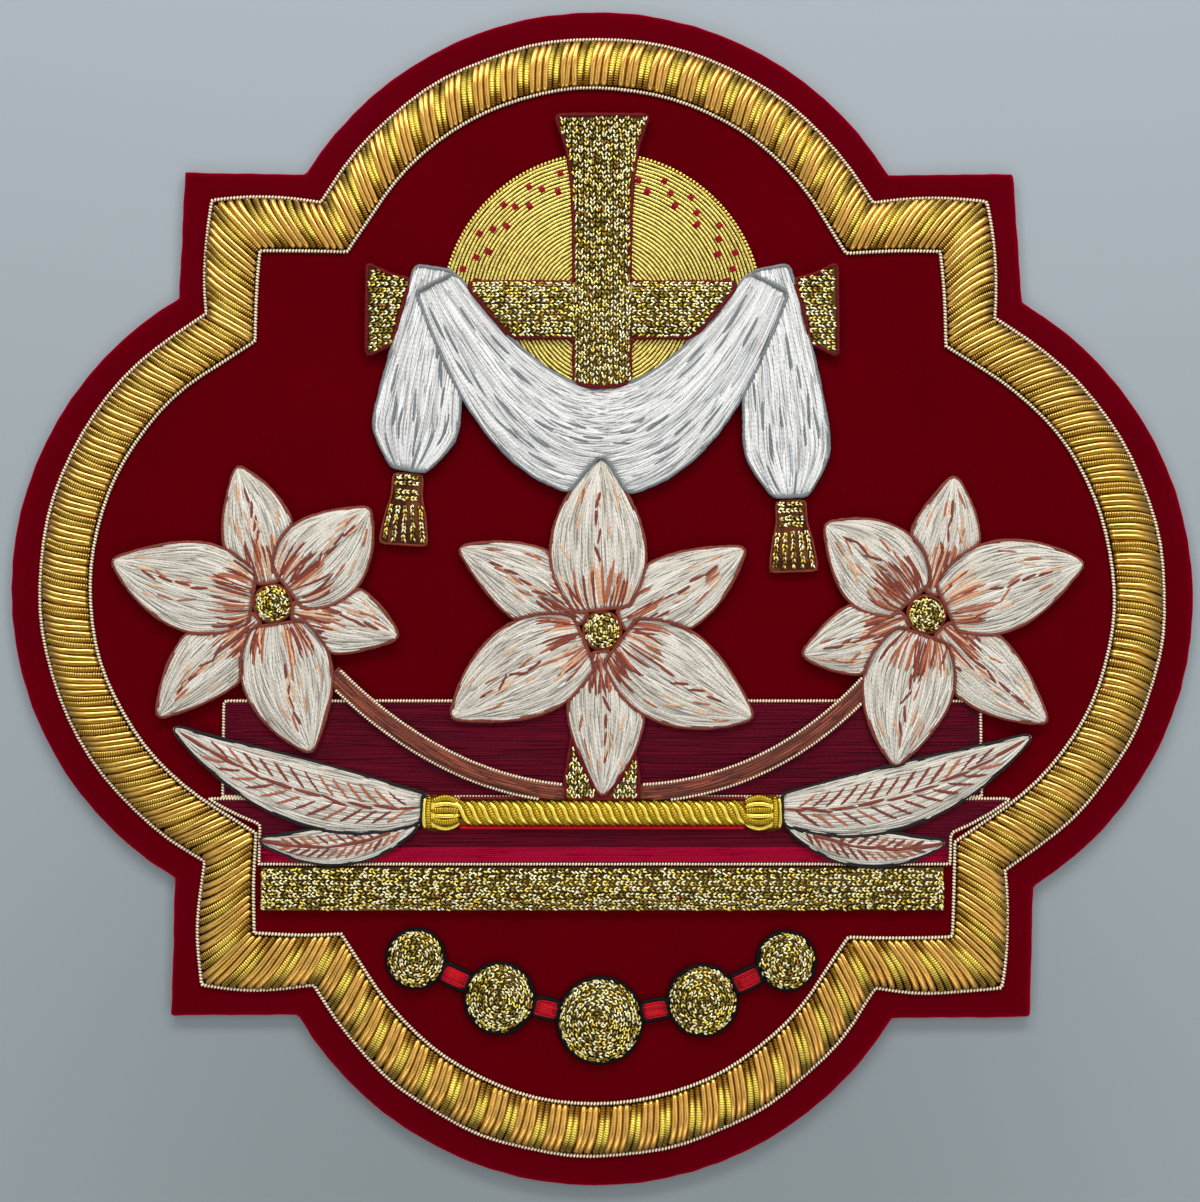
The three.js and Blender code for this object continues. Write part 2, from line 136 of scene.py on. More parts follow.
class Look:
    """A material in the making. Its inputs are given as sockets or as plain values."""

    def __init__(self, name):
        self.material = bpy.data.materials.new(name)
        self.material.use_nodes = True
        self.tree = self.material.node_tree
        self.shader = self.tree.nodes["Principled BSDF"]

    def fill(self, node, inputs):
        for name, value in inputs.items():
            if isinstance(value, bpy.types.NodeSocket):
                self.tree.links.new(value, node.inputs[name])
            else:
                node.inputs[name].default_value = value

    def node(self, kind, inputs, **settings):
        """The outputs of a new node."""
        node = self.tree.nodes.new(f"ShaderNode{kind}")
        for name, value in settings.items():
            setattr(node, name, value)
        self.fill(node, inputs)
        return node.outputs

    def math(self, kind, first, second=0.0):
        return self.node("Math", {0: first, 1: second}, operation=kind)[0]

    def place(self):
        return self.node("TexCoord", {})["Object"]

    def speckle(self, size, detail=2.0):
        """Noise in the object's own space, with grains of about the size given."""
        inputs = {"Vector": self.place(), "Scale": 1 / (size * MM), "Detail": detail}
        return self.node("TexNoise", inputs)["Fac"]

    def ranged(self, value, low, high, start=0.0, end=1.0, **settings):
        """Maps a socket from its start and end onto a range."""
        inputs = {"Value": value, "From Min": start, "From Max": end, "To Min": low, "To Max": high}
        return self.node("MapRange", inputs, **settings)["Result"]

    def lay(self):
        """Where a point lies on its thread: millimetres along it, turn round it, and how coiled it is."""
        vector = self.node("Attribute", {}, attribute_name="lay")["Vector"]
        return self.node("SeparateXYZ", {0: vector})

    def ridges(self, pitch, slant):
        """Waves along a thread, a pitch apart, wound round it by the slant."""
        along, turn, _ = self.lay()
        phase = self.math("MULTIPLY", along, TURN / pitch)
        return self.math("SINE", self.math("ADD", phase, self.math("MULTIPLY", turn, slant)))

    def scaled(self, colour, shade):
        return self.node("VectorMath", {0: colour, "Scale": shade}, operation="SCALE")[0]

    def tint(self, shade):
        """Colours the shader by the thread's own tint, made lighter or darker by a shade."""
        colour = self.node("Attribute", {}, attribute_name="tint")["Color"]
        self.fill(self.shader, {"Base Color": self.scaled(colour, shade)})

    def bump(self, height, strength, distance):
        inputs = {"Height": height, "Strength": strength, "Distance": distance * MM}
        self.fill(self.shader, {"Normal": self.node("Bump", inputs)[0]})


def metal_thread(name, pitch, slant, roughness, bump, shades=(0.82, 1.15), metallic=1.0):
    """Gilt thread or purl: its tint with fine wound ridges, stronger where it is coiled rough. The ridges
    also stripe the tint lighter and darker, as painted light and shade.
    """
    look = Look(name)
    coiled = look.lay()[2]
    ridges = look.math("MULTIPLY", look.ridges(pitch, slant), look.ranged(coiled, 0.1, 1.0))
    painted_ridge_shade = look.math("ADD", look.math("MULTIPLY", ridges, 0.28), 0.86)
    look.tint(look.math("MULTIPLY", look.ranged(look.speckle(0.9), *shades), painted_ridge_shade))
    rough = look.ranged(coiled, roughness, roughness + 0.06)
    look.fill(look.shader, {"Metallic": metallic, "Roughness": rough})
    look.bump(ridges, 0.6, bump)
    return look.material


def silk_thread(name, pitch, roughness, sheen=0.0, gloss=0.25):
    """Floss silk: its tint, streaked along the strand, with the twist of its plies."""
    look = Look(name)
    look.tint(look.ranged(look.speckle(0.5), 0.84, 1.14))
    look.fill(look.shader, {"Roughness": roughness, "Specular IOR Level": gloss})
    look.fill(look.shader, {"Sheen Weight": sheen, "Sheen Roughness": 0.4})
    look.bump(look.ridges(pitch, 1.0), 0.5, 0.06)
    return look.material


def velvet(name):
    """Cut velvet: deep red with a soft sheen, shaded in drifts, with a fine pile."""
    look = Look(name)
    drift = look.ranged(look.speckle(22.0, 3.0), 0.85, 1.12)
    grain = look.ranged(look.speckle(0.35, 1.0), 0.8, 1.2)
    look.tint(look.math("MULTIPLY", drift, grain))
    look.fill(look.shader, {"Roughness": 0.85, "Specular IOR Level": 0.0, "Sheen Weight": 0.1})
    look.fill(look.shader, {"Sheen Roughness": 0.4, "Sheen Tint": (1.0, 0.0, 0.03, 1.0)})
    look.bump(look.speckle(0.3, 3.0), 0.5, 0.12)
    return look.material


# Meshes. A profile is a ring of points across a thread: its share of the half width, and of the height.
# A rim of painted groove shade or a painted highlight line beside it holds a share for each of those points.

ARCH = [(-1.0, -0.25), (-0.68, 0.72), (0.0, 1.0), (0.68, 0.72), (1.0, -0.25)]
LOW_ARCH = [(-1.0, 0.0), (-0.45, 0.9), (0.45, 0.9), (1.0, 0.0)]
# Painted shade at the edges of low threads, in their grooves.
LOW_PAINTED_EDGE_SHADE = [0.35, 1.0, 1.0, 0.35]
FIVE_UP = [(math.cos(TURN * (k + 0.25) / 5), math.sin(TURN * (k + 0.25) / 5)) for k in range(5)]
PURL_HALF = [(1.0, -0.4), (0.97, 0.35), (0.72, 0.8)]
PURL_ARCH = [*((-x, y) for x, y in PURL_HALF), (0.0, 1.0), *reversed(PURL_HALF)]
PURL_PAINTED_GROOVE_SHADE = [0.5, 0.84, 1.0, 1.0, 1.0, 0.84, 0.5]
PURL_PAINTED_HIGHLIGHT_LINE = [0.0, 0.4, 1.0, 0.05, 1.0, 0.4, 0.0]
UP = np.array([0.0, 0.0, 1.0])


def add_object(name, data):
    thing = bpy.data.objects.new(name, data)
    bpy.context.scene.collection.objects.link(thing)
    return thing


class Piece:
    """A mesh of many threads, with each point's tint and its lay on its thread."""

    def __init__(self):
        self.points, self.tints, self.lays = [], [], []
        self.faces, self.smooth = [], []
        self.count = 0

    def add(self, points, faces, tint, lay=(0, 0, 0), smooth=True):
        """Takes points in millimetres, and arrays of faces with equal numbers of corners."""
        self.points.append(points)
        self.faces += [corners + self.count for corners in faces]
        self.smooth += [np.full(len(corners), smooth) for corners in faces]
        self.tints.append(np.broadcast_to(tint, (len(points), 3)))
        self.lays.append(np.broadcast_to(lay, (len(points), 3)))
        self.count += len(points)

    def mesh(self, name):
        points = np.concatenate(self.points) * MM
        sizes = np.concatenate([np.full(len(corners), corners.shape[1]) for corners in self.faces])
        corners = np.concatenate([corners.ravel() for corners in self.faces]).astype(np.int32)
        mesh = bpy.data.meshes.new(name)
        mesh.vertices.add(len(points))
        mesh.vertices.foreach_set("co", points.ravel())
        mesh.loops.add(len(corners))
        mesh.loops.foreach_set("vertex_index", corners)
        mesh.polygons.add(len(sizes))
        mesh.polygons.foreach_set("loop_start", (np.cumsum(sizes) - sizes).astype(np.int32))
        mesh.polygons.foreach_set("use_smooth", np.concatenate(self.smooth))
        mesh.update(calc_edges=True)
        tints = np.ones((len(points), 4))
        tints[:, :3] = np.concatenate(self.tints)
        mesh.attributes.new("tint", "FLOAT_COLOR", "POINT").data.foreach_set("color", tints.ravel())
        lays = np.concatenate(self.lays)
        mesh.attributes.new("lay", "FLOAT_VECTOR", "POINT").data.foreach_set("vector", lays.ravel())
        return mesh

    def finish(self, name, material, slot, *nodes):
        """Builds the piece, lets it ride on the emblem, and hides the solids it stands for. The slot is not
        used.
        """
        mesh = self.mesh(name)
        mesh.materials.append(material)
        thing = add_object(name, mesh)
        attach(thing, "root")
        if nodes:
            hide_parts(*nodes)
        return thing


def unit(vectors):
    return vectors / np.maximum(np.linalg.norm(vectors, axis=-1, keepdims=True), 1e-9)


def headings(paths, closed=False):
    """The unit vectors ahead at each point of one path or of many."""
    if closed:
        return unit(np.roll(paths, -1, -2) - np.roll(paths, 1, -2))
    return unit(np.gradient(paths, axis=-2))


def turned_left(vectors):
    """Plan vectors turned a quarter to the left."""
    return np.stack([-vectors[..., 1], vectors[..., 0]], -1)


def leftward(plan, closed=True):
    """The unit vectors to the left of a plan path."""
    return turned_left(headings(plan, closed))


def plan_of(x, y):
    """Plan points from their places east and north."""
    return np.stack(np.broadcast_arrays(x, y), -1)


def raised(plan, height):
    """Plan points with their heights."""
    height = np.broadcast_to(height, plan.shape[:-1])
    return np.concatenate([plan, height[..., None]], -1)


def tube_faces(threads, steps, around, closed):
    """The faces of a batch of tubes, with a cap at each end of open ones."""
    first = np.arange(threads)[:, None, None] * steps * around
    rows = np.arange(steps if closed else steps - 1)[None, :, None]
    after = (rows + 1) % steps
    ring = np.arange(around)[None, None, :]
    beside = (ring + 1) % around
    corners = [rows * around + ring, after * around + ring, after * around + beside, rows * around + beside]
    faces = [np.stack([first + corner for corner in corners], -1).reshape(-1, 4)]
    if not closed:
        start = first[:, 0] + np.arange(around)
        faces += [start, start[:, ::-1] + (steps - 1) * around]
    return faces


def tube_lay(paths, around, coil):
    """The lay of a batch of tubes' points."""
    lay = np.zeros((*paths.shape[:2], around, 3))
    lengths = np.linalg.norm(np.diff(paths, axis=1), axis=2)
    lay[:, 1:, :, 0] = np.cumsum(lengths, 1)[..., None]
    lay[..., 1] = np.linspace(0, TURN / 2, around)
    lay[..., 2] = np.reshape(coil, (-1, 1, 1))
    return lay


def add_tubes(piece, paths, widths, heights, tint, coil=0.0, profile=ARCH, closed=False, rim=None):
    """Lays a batch of threads: paths (threads, steps, 3), half widths and heights (threads, steps).

    The tint is a single one, or one for each thread, step or point. The rim darkens it in the grooves as
    painted shade."""
    threads, steps, _ = paths.shape
    ring = np.array(profile)
    tangents = headings(paths, closed)
    sides = unit(np.cross(tangents, UP))
    normals = np.cross(sides, tangents)
    across = sides * np.broadcast_to(widths, (threads, steps))[..., None]
    above = normals * np.broadcast_to(heights, (threads, steps))[..., None]
    points = paths[:, :, None] + across[:, :, None] * ring[:, :1] + above[:, :, None] * ring[:, 1:]
    while tint.ndim < 4:
        tint = tint[..., None, :]
    tints = np.broadcast_to(tint, points.shape)
    if rim is not None:
        tints = tints * np.array(rim)[:, None]
    faces = tube_faces(threads, steps, len(ring), closed)
    lay = tube_lay(paths, len(ring), coil)
    piece.add(points.reshape(-1, 3), faces, tints.reshape(-1, 3), lay.reshape(-1, 3))


def add_rings(piece, rings, tint, closed=False):
    """A surface from ring to ring, outwards and down: back to the first one, or capped at both ends."""
    piece.add(np.concatenate(rings), tube_faces(1, len(rings), len(rings[0]), closed), tint)


# Plan outlines and paths.

def solid_box(name):
    """A node's lowest and highest corner in millimetres."""
    return [np.array(corner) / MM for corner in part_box(name)]


def node_triangles(name):
    """A node's triangles as points in millimetres, and how far each one faces up."""
    mesh = NODES[name].data
    mesh.calc_loop_triangles()
    places = np.zeros(len(mesh.vertices) * 3)
    mesh.vertices.foreach_get("co", places)
    corners = np.zeros(len(mesh.loop_triangles) * 3, np.int32)
    mesh.loop_triangles.foreach_get("vertices", corners)
    triangles = places.reshape(-1, 3)[corners.reshape(-1, 3)] / MM
    normals = np.cross(triangles[:, 1] - triangles[:, 0], triangles[:, 2] - triangles[:, 0])
    return triangles, unit(normals)[:, 2]


def plan_loops(name):
    """The outlines of a node's upper side, longest first."""
    triangles, lift = node_triangles(name)
    edges = set()
    for triangle in np.round(triangles[lift > 0.05], 3):
        corners = [tuple(corner) for corner in triangle]
        edges.update(zip(corners, corners[1:] + corners[:1]))
    follows = {start: end for start, end in edges if (end, start) not in edges}
    loops = []
    while follows:
        start, point = follows.popitem()
        loop = [start]
        while point in follows:
            loop.append(point)
            point = follows.pop(point)
        if point == start and len(loop) > 2:
            loops.append(np.array(loop))
    return sorted(loops, key=lambda loop: -path_length(loop, True))


def path_length(points, closed=False):
    path = np.vstack([points, points[:1]]) if closed else points
    return np.linalg.norm(np.diff(path, axis=0), axis=1).sum()


def between(wanted, places, rows):
    """Rows at the wanted places, from rows that are given at other places."""
    return np.stack([np.interp(wanted, places, column) for column in rows.T], -1)


def resampled(points, count, closed=False):
    """The same path in even steps. A closed one ends a step before its start."""
    path = np.vstack([points, points[:1]]) if closed else points
    lengths = np.concatenate([[0], np.cumsum(np.linalg.norm(np.diff(path, axis=0), axis=1))])
    return between(np.linspace(0, lengths[-1], count, endpoint=not closed), lengths, path)


def inset_plan(plan, inset):
    """An anticlockwise plan outline drawn in by a distance, corner by corner."""
    ahead = unit(np.roll(plan, -1, 0) - plan)
    left = turned_left(ahead + np.roll(ahead, 1, 0))
    return plan + inset * 2 * left / (left ** 2).sum(1, keepdims=True)


def key_points(plan):
    """The indexes of an outline's sharp points."""
    ahead = unit(np.roll(plan, -1, 0) - plan)
    return np.nonzero((ahead * np.roll(ahead, 1, 0)).sum(1) < 0.9)[0]


def runs_of(flags, least):
    """Where each run of at least so many true flags starts and ends."""
    changes = np.flatnonzero(np.diff([False, *flags, False]))
    return [(first, last) for first, last in zip(changes[::2], changes[1::2]) if last - first >= least]


def waver(size, seed, waves=7, fastest=40):
    """How far a hand strays from its line, at shares from 0 to 1 along it."""
    source = np.random.default_rng(seed)
    turns = source.uniform(0, TURN, waves)
    counts = source.integers(4, fastest, waves)
    scale = size / math.sqrt(waves)
    return lambda share: scale * np.sin(TURN * np.outer(share, counts) + turns).sum(1)


# The velvet panel.

PANEL = plan_loops("velvet_panel")[0][:, :2]
PANEL_TOP = solid_box("velvet_panel")[1][2]
KEYS = key_points(PANEL)

# Its rings, from its flat top outwards and down its cut edge to its foot: inset, height and tint.
PANEL_RINGS = [
    (14.5, PANEL_TOP, linear(81, 0, 8)),
    # The margin's reds are a little lighter as painted sheen of the pile.
    (4.0, PANEL_TOP, linear(83, 0, 11)),
    (0.9, PANEL_TOP, linear(86, 0, 12)),
    (0.4, 1.92, linear(104, 0, 17)),
    (0.12, 1.7, linear(156, 8, 36)),
    (0.0, 1.3, linear(174, 36, 60)),
    (0.0, 0.6, linear(138, 54, 64)),
    (0.10, 0.0, linear(110, 54, 60)),
]


def make_panel():
    """The velvet, whose cut edge strays a little from its line."""
    stray = waver(0.05, 5, waves=12, fastest=150)
    count = int(path_length(PANEL, True) / 0.8)
    rings = []
    for inset, height, _ in PANEL_RINGS:
        plan = resampled(inset_plan(PANEL, inset), count, True)
        plan = plan + leftward(plan) * stray(np.arange(count) / count)[:, None] * max(0, 1 - inset)
        rings.append(raised(plan, height))
    piece = Piece()
    add_rings(piece, rings, np.repeat([tint for _, _, tint in PANEL_RINGS], count, axis=0))
    panel = piece.finish("velvet_panel_cloth", VELVET, "velvet", "velvet_panel")


# The border of purls between two twists.

def stretches(inset):
    """The outline's runs between its sharp points at an inset, each with whether it is a round lobe."""
    plan = inset_plan(PANEL, inset)
    runs = []
    for start, end in zip(KEYS, [*KEYS[1:], KEYS[0] + len(PANEL)]):
        run = plan[np.arange(start, end + 1) % len(PANEL)]
        runs.append((run, end - start > 3))
    return runs


def bowed(run, lobe, bow):
    """A barb's side bows a little outwards, as it was laid by hand."""
    if lobe:
        return run
    side = resampled(run, 24)
    share = np.linspace(0, 1, len(side))
    return side - leftward(side, False) * (bow * np.sin(math.pi * share))[:, None]


def border_line(inset, bow, seed):
    """The whole outline at an inset with its bowed sides and a slow waver."""
    runs = [bowed(run, lobe, bow)[:-1] for run, lobe in stretches(inset)]
    plan = np.concatenate(runs)
    plan = resampled(plan, int(path_length(plan, True) / 0.5), True)
    share = np.arange(len(plan)) / len(plan)
    return plan + leftward(plan) * waver(0.1, seed)(share)[:, None]


# A turn of twist as four places along it: how far along, in pitches, its girth and its share of the tint,
# which darkens its ends as painted shade.
TURN_REACH = np.array([-0.41, -0.2, 0.2, 0.41])[:, None]
TURN_GIRTH = np.array([0.45, 1.0, 1.0, 0.45])
TURN_PAINTED_SHADE = np.array([[0.26, 0.18, 0.1], [1, 1, 1], [1, 1, 1], [0.26, 0.18, 0.1]])


def add_twist(piece, path, tint, pitch=FINE_TWIST_PITCH, radius=FINE_TWIST_RADIUS, closed=True, slant=0.45):
    """A tight coil of wire along a path in space: a row of slanted turns, darkened at their ends as painted
    shade, over a dark core of painted shade in the gaps.
    """
    count = max(3, round(path_length(path, closed) / pitch))
    line = resampled(path, count, closed)
    ahead = headings(line, closed)
    along = unit(ahead + slant * np.cross(ahead, UP))
    turns = line[:, None] + along[:, None] * (pitch * TURN_REACH)
    widths = radius * TURN_GIRTH
    tints = (tint * RNG.uniform(0.88, 1.06, (count, 1)))[:, None] * TURN_PAINTED_SHADE
    add_tubes(piece, turns, widths, 0.9 * widths, tints, profile=FIVE_UP)
    core = (line[::2] - 0.3 * radius * UP)[None]
    add_tubes(piece, core, 0.6 * radius, 0.6 * radius, CORE_PAINTED_SHADE, profile=FIVE_UP, closed=closed)


def make_border_twist(name, inset, bow, seed):
    path = raised(border_line(inset, bow, seed), PANEL_TOP + TWIST_RADIUS)
    piece = Piece()
    add_twist(piece, path, GOLD_IVORY, TWIST_PITCH, TWIST_RADIUS)
    piece.finish(f"{name}_cord", TWIST_GOLD, "gold_twist", name)


# Places along a purl, the girth and the outer end's painted highlight there, and how its middle bows aside.
PURL_ALONG = np.array([0, 0.02, 0.07, 0.18, 0.32, 0.5, 0.68, 0.82, 0.93, 0.98, 1])
PURL_TAPER = np.array([0.5, 0.84, 1, 1, 1, 1, 1, 1, 1, 0.84, 0.5])
END_PAINTED_HIGHLIGHT = np.array([0, 0, 0, 0, 0, 0, 0.1, 0.6, 1, 1, 0.6])[:, None]
PURL_BOW = np.sin(math.pi * PURL_ALONG) * (0.4 + 0.6 * PURL_ALONG)

# The most that purls bow, and that their outer ends are swept clockwise, on a lobe and on a barb's side.
LOBE_BOW, BARB_BOW = 0.55, 0.7
LOBE_SWEEP, BARB_SWEEP = 1.8, 0.6


def purl_shares(outer, inner):
    """Even shares along a pair of runs, so many that the purls lie a pitch apart across their length."""
    across = outer.mean(0) - inner.mean(0)
    ahead = unit(outer[-1] - outer[0])
    upright = abs(ahead[0] * across[1] - ahead[1] * across[0]) / np.linalg.norm(across)
    length = (path_length(outer) + path_length(inner)) / 2
    count = int(round(length * upright / PURL_PITCH))
    return (np.arange(count) + 0.5) / count


def at_shares(path, shares):
    """Points at shares of a plan path's length, each a little off its share."""
    shares = shares + RNG.normal(0, 0.001, len(shares))
    return between(shares, np.linspace(0, 1, 400), resampled(path, 400))


def lay_purls(outer, inner, lobe):
    """Plan paths of the purls across a pair of runs, and the half widths that fill the room they have."""
    share = purl_shares(outer, inner)
    arc = np.sin(math.pi * share)
    sweep = (LOBE_SWEEP if lobe else BARB_SWEEP) * arc ** 0.6 / path_length(outer)
    starts = at_shares(inner, share)
    ends = at_shares(outer, share - sweep)
    chord = ends - starts
    aside = unit(turned_left(chord))
    bend = np.outer(arc ** 0.4, (LOBE_BOW if lobe else BARB_BOW) * PURL_BOW)[..., None]
    plans = starts[:, None] + chord[:, None] * PURL_ALONG[:, None] + aside[:, None] * bend
    rooms = [np.abs((np.gradient(side, axis=0) * aside).sum(1))[:, None] for side in (starts, ends)]
    return plans, np.clip(0.51 * mixed(*rooms, PURL_ALONG), 0.4, 0.95)


def purl_tints(plans, rough):
    """Smooth purls get a painted highlight at their outer ends. Rough ones get a painted glint in the middle
    and painted shade at their ends. Level purls are olive as painted shade.
    """
    upright = np.abs(unit(plans[:, -1] - plans[:, 0])[:, 1])[:, None, None]
    # Level purls olive and upright ones warm, as painted shade, with the painted highlight at outer ends.
    smooth = mixed(mixed(GOLD_OLIVE, GOLD_WARM, upright), GOLD_END_PAINTED_HIGHLIGHT, END_PAINTED_HIGHLIGHT)
    peak = RNG.normal(0.52, 0.05, (len(plans), 1))
    flash = np.exp(-(((PURL_ALONG - peak) / 0.24) ** 4))[..., None]
    painted_shade = mixed(GOLD_BRONZE, GOLD_END_PAINTED_SHADE, PURL_ALONG[:, None])
    painted_shade = mixed(painted_shade, GOLD_OLIVE, 0.85 * (1 - upright))
    coarse = mixed(painted_shade, mixed(GOLD_OLIVE, GOLD_PAINTED_FLASH, upright), flash)
    tints = np.where(rough[:, None, None] > 0, coarse, smooth)
    return tints * RNG.uniform(0.86, 1.08, (len(plans), 1, 1))


def purl_relief(plans, tints, rough):
    """Tints round each purl: warm brown painted shade in its grooves, a darker body on level purls as
    painted shade, and a painted highlight line along the side that faces +Y.
    """
    ahead = unit(plans[:, -1] - plans[:, 0])
    facing = -ahead[:, 0, None] * np.sign(np.array(PURL_ARCH)[:, 0])
    level = np.abs(ahead[:, 0]) ** 2
    # Level purls are darkened as painted shade.
    body = tints * (1 - 0.36 * level)[:, None, None]
    body = body[:, :, None] * np.array(PURL_PAINTED_GROOVE_SHADE)[:, None] ** np.array([1.0, 1.2, 2.6])
    # A painted highlight line along the side that faces +Y.
    line = np.array(PURL_PAINTED_HIGHLIGHT_LINE) * np.clip(facing, 0, 1) ** 1.5 * (1 - 0.35 * rough)[:, None]
    return mixed(body, GOLD_PAINTED_HIGHLIGHT_LINE, line[:, None, :, None])


def make_border():
    """Cut purls over the padding, three smooth and two rough in turn, their outer ends swept clockwise."""
    low = PANEL_TOP + 0.35
    high = solid_box("gold_border")[1][2] - PURL_RADIUS
    arch = mixed(low, high, np.sin(math.pi * np.clip(PURL_ALONG, 0.02, 0.98)) ** 0.9)
    piece = Piece()
    laid = 0
    for (outer, lobe), (inner, _) in zip(stretches(PURL_OUTER_INSET), stretches(PURL_INNER_INSET)):
        plans, widths = lay_purls(bowed(outer, lobe, 1.05), bowed(inner, lobe, 0.3), lobe)
        count = len(plans)
        paths = raised(plans, arch + RNG.normal(0, 0.035, (count, 1)))
        number = (laid + np.arange(count)) % (SMOOTH_PURLS + ROUGH_PURLS)
        rough = (number >= SMOOTH_PURLS).astype(float)
        laid += count
        tints = purl_relief(plans, purl_tints(plans, rough), rough)
        heights = 0.45 * (widths + PURL_RADIUS) * PURL_TAPER
        add_tubes(piece, paths, widths * PURL_TAPER, heights, tints, rough, PURL_ARCH)
    add_border_padding(piece, low, high)
    piece.finish("gold_border_purls", PURL_GOLD, "gold_purl", "gold_border")


def add_border_padding(piece, low, high):
    """The felt under the purls, tinted brown as painted shade that shows as a dark line in the grooves
    between them.
    """
    count = 480
    rings = []
    for share in np.linspace(1, 0, 7):
        plan = resampled(inset_plan(PANEL, mixed(PURL_OUTER_INSET, PURL_INNER_INSET, share)), count, True)
        rings.append(raised(plan, low - 0.3 + (high - low + 0.1) * math.sin(math.pi * share) ** 0.9))
    for ring in (rings[-1], rings[0]):
        rings.append(raised(ring[:, :2], PANEL_TOP))
    add_rings(piece, rings, linear(150, 94, 4), closed=True)


# The upper sides of solids as heights on a fine plan grid.

class Top:
    """Heights of some nodes' upper sides. Off them a height is about that of the nearest place on them."""

    CELL = 0.2
    SPREAD = 12

    def __init__(self, *names):
        sides = [node_triangles(name) for name in names]
        triangles = np.concatenate([corners[lift > 0.02] for corners, lift in sides])
        margin = self.CELL * (self.SPREAD + 2)
        self.low = triangles[..., :2].min((0, 1)) - margin
        reach = triangles[..., :2].max((0, 1)) + margin - self.low
        self.shape = tuple(np.ceil(reach / self.CELL).astype(int) + 1)
        self.heights = np.full(self.shape, -np.inf)
        for triangle in triangles:
            self.raise_to(triangle)
        self.covered = np.isfinite(self.heights)
        for _ in range(self.SPREAD):
            self.spread()

    def raise_to(self, triangle):
        """Raises the cells under a triangle to it."""
        first = np.floor((triangle[:, :2].min(0) - self.low) / self.CELL).astype(int)
        last = np.ceil((triangle[:, :2].max(0) - self.low) / self.CELL).astype(int) + 1
        x = self.low[0] + self.CELL * np.arange(first[0], last[0])[:, None]
        y = self.low[1] + self.CELL * np.arange(first[1], last[1])[None, :]
        (ax, ay, az), (bx, by, bz), (cx, cy, cz) = triangle
        area = (bx - ax) * (cy - ay) - (cx - ax) * (by - ay)
        if area < 1e-9:
            return
        to_b = ((x - ax) * (cy - ay) - (cx - ax) * (y - ay)) / area
        to_c = ((bx - ax) * (y - ay) - (x - ax) * (by - ay)) / area
        on = (to_b >= -1e-6) & (to_c >= -1e-6) & (to_b + to_c <= 1 + 1e-6)
        height = az + to_b * (bz - az) + to_c * (cz - az)
        cells = self.heights[first[0]:last[0], first[1]:last[1]]
        np.maximum(cells, np.where(on, height, -np.inf), out=cells)

    def spread(self):
        """Gives the cells next to known heights the mean of their known neighbours."""
        known = np.isfinite(self.heights)
        values = np.stack([np.where(known, self.heights, 0), known])
        total, number = sum(np.roll(values, way, axis) for axis in (1, 2) for way in (1, -1))
        fresh = ~known & (number > 0)
        self.heights[fresh] = total[fresh] / number[fresh]

    def cells(self, plan):
        place = (plan - self.low) / self.CELL
        return np.clip(place, 0, np.array(self.shape) - 1.001)

    def inside(self, plan):
        """Whether plan points lie on the solids."""
        place = np.rint(self.cells(plan)).astype(int)
        return self.covered[place[..., 0], place[..., 1]]

    def height(self, plan):
        place = self.cells(plan)
        whole = place.astype(int)
        part = place - whole
        total = 0
        for x, y in ((0, 0), (0, 1), (1, 0), (1, 1)):
            share = np.abs(1 - x - part[..., 0]) * np.abs(1 - y - part[..., 1])
            total = total + share * self.heights[whole[..., 0] + x, whole[..., 1] + y]
        return np.where(np.isfinite(total), total, PANEL_TOP)


def padded(names, tint, sink=0.05):
    """A new piece that holds some solids, sunk a little, as the padding under its threads, and their top.
    The padding's dark tint is painted shade where it shows between threads.
    """
    piece = Piece()
    for name in names:
        triangles, _ = node_triangles(name)
        points, corners = np.unique(np.round(triangles.reshape(-1, 3), 4), axis=0, return_inverse=True)
        points[:, 2] -= sink * (points[:, 2] > PANEL_TOP + 0.6)
        piece.add(points, [corners.reshape(-1, 3)], tint, smooth=False)
    return piece, Top(*names)


# Strips: a curve from base to tip, drawn towards a bend, and a half width along it, as the solids have.

class Strip:
    def __init__(self, base, bend, tip, half_width):
        self.base, self.bend, self.tip = (np.array(point, float) for point in (base, bend, tip))
        self.half_width = half_width
        self.length = path_length(self.at(np.linspace(0, 1, 30), np.zeros(30)))

    def at(self, t, v):
        """Plan points at shares t along the strip and v, from -1 to 1, across it."""
        after = t[..., None]
        before = 1 - after
        ahead = 2 * before * (self.bend - self.base) + 2 * after * (self.tip - self.bend)
        middle = before ** 2 * self.base + 2 * after * before * self.bend + after ** 2 * self.tip
        return middle + turned_left(unit(ahead)) * (self.half_width(np.clip(t, 0, 1)) * v)[..., None]


def even(half, t):
    """A half width that is the same all along."""
    return half + 0 * t


def straight(base, tip, half_width):
    return Strip(base, np.mean([base, tip], 0), tip, half_width)


# Silk stitches.

STITCH_STEPS = 7
LEAST_STITCH = 1.0
STITCH_TAPER = np.array([0.35, 0.85, 1.0, 1.0, 1.0, 0.85, 0.35])
STITCH_DIP = np.array([-0.12, -0.02, 0.0, 0.0, 0.0, -0.02, -0.12])


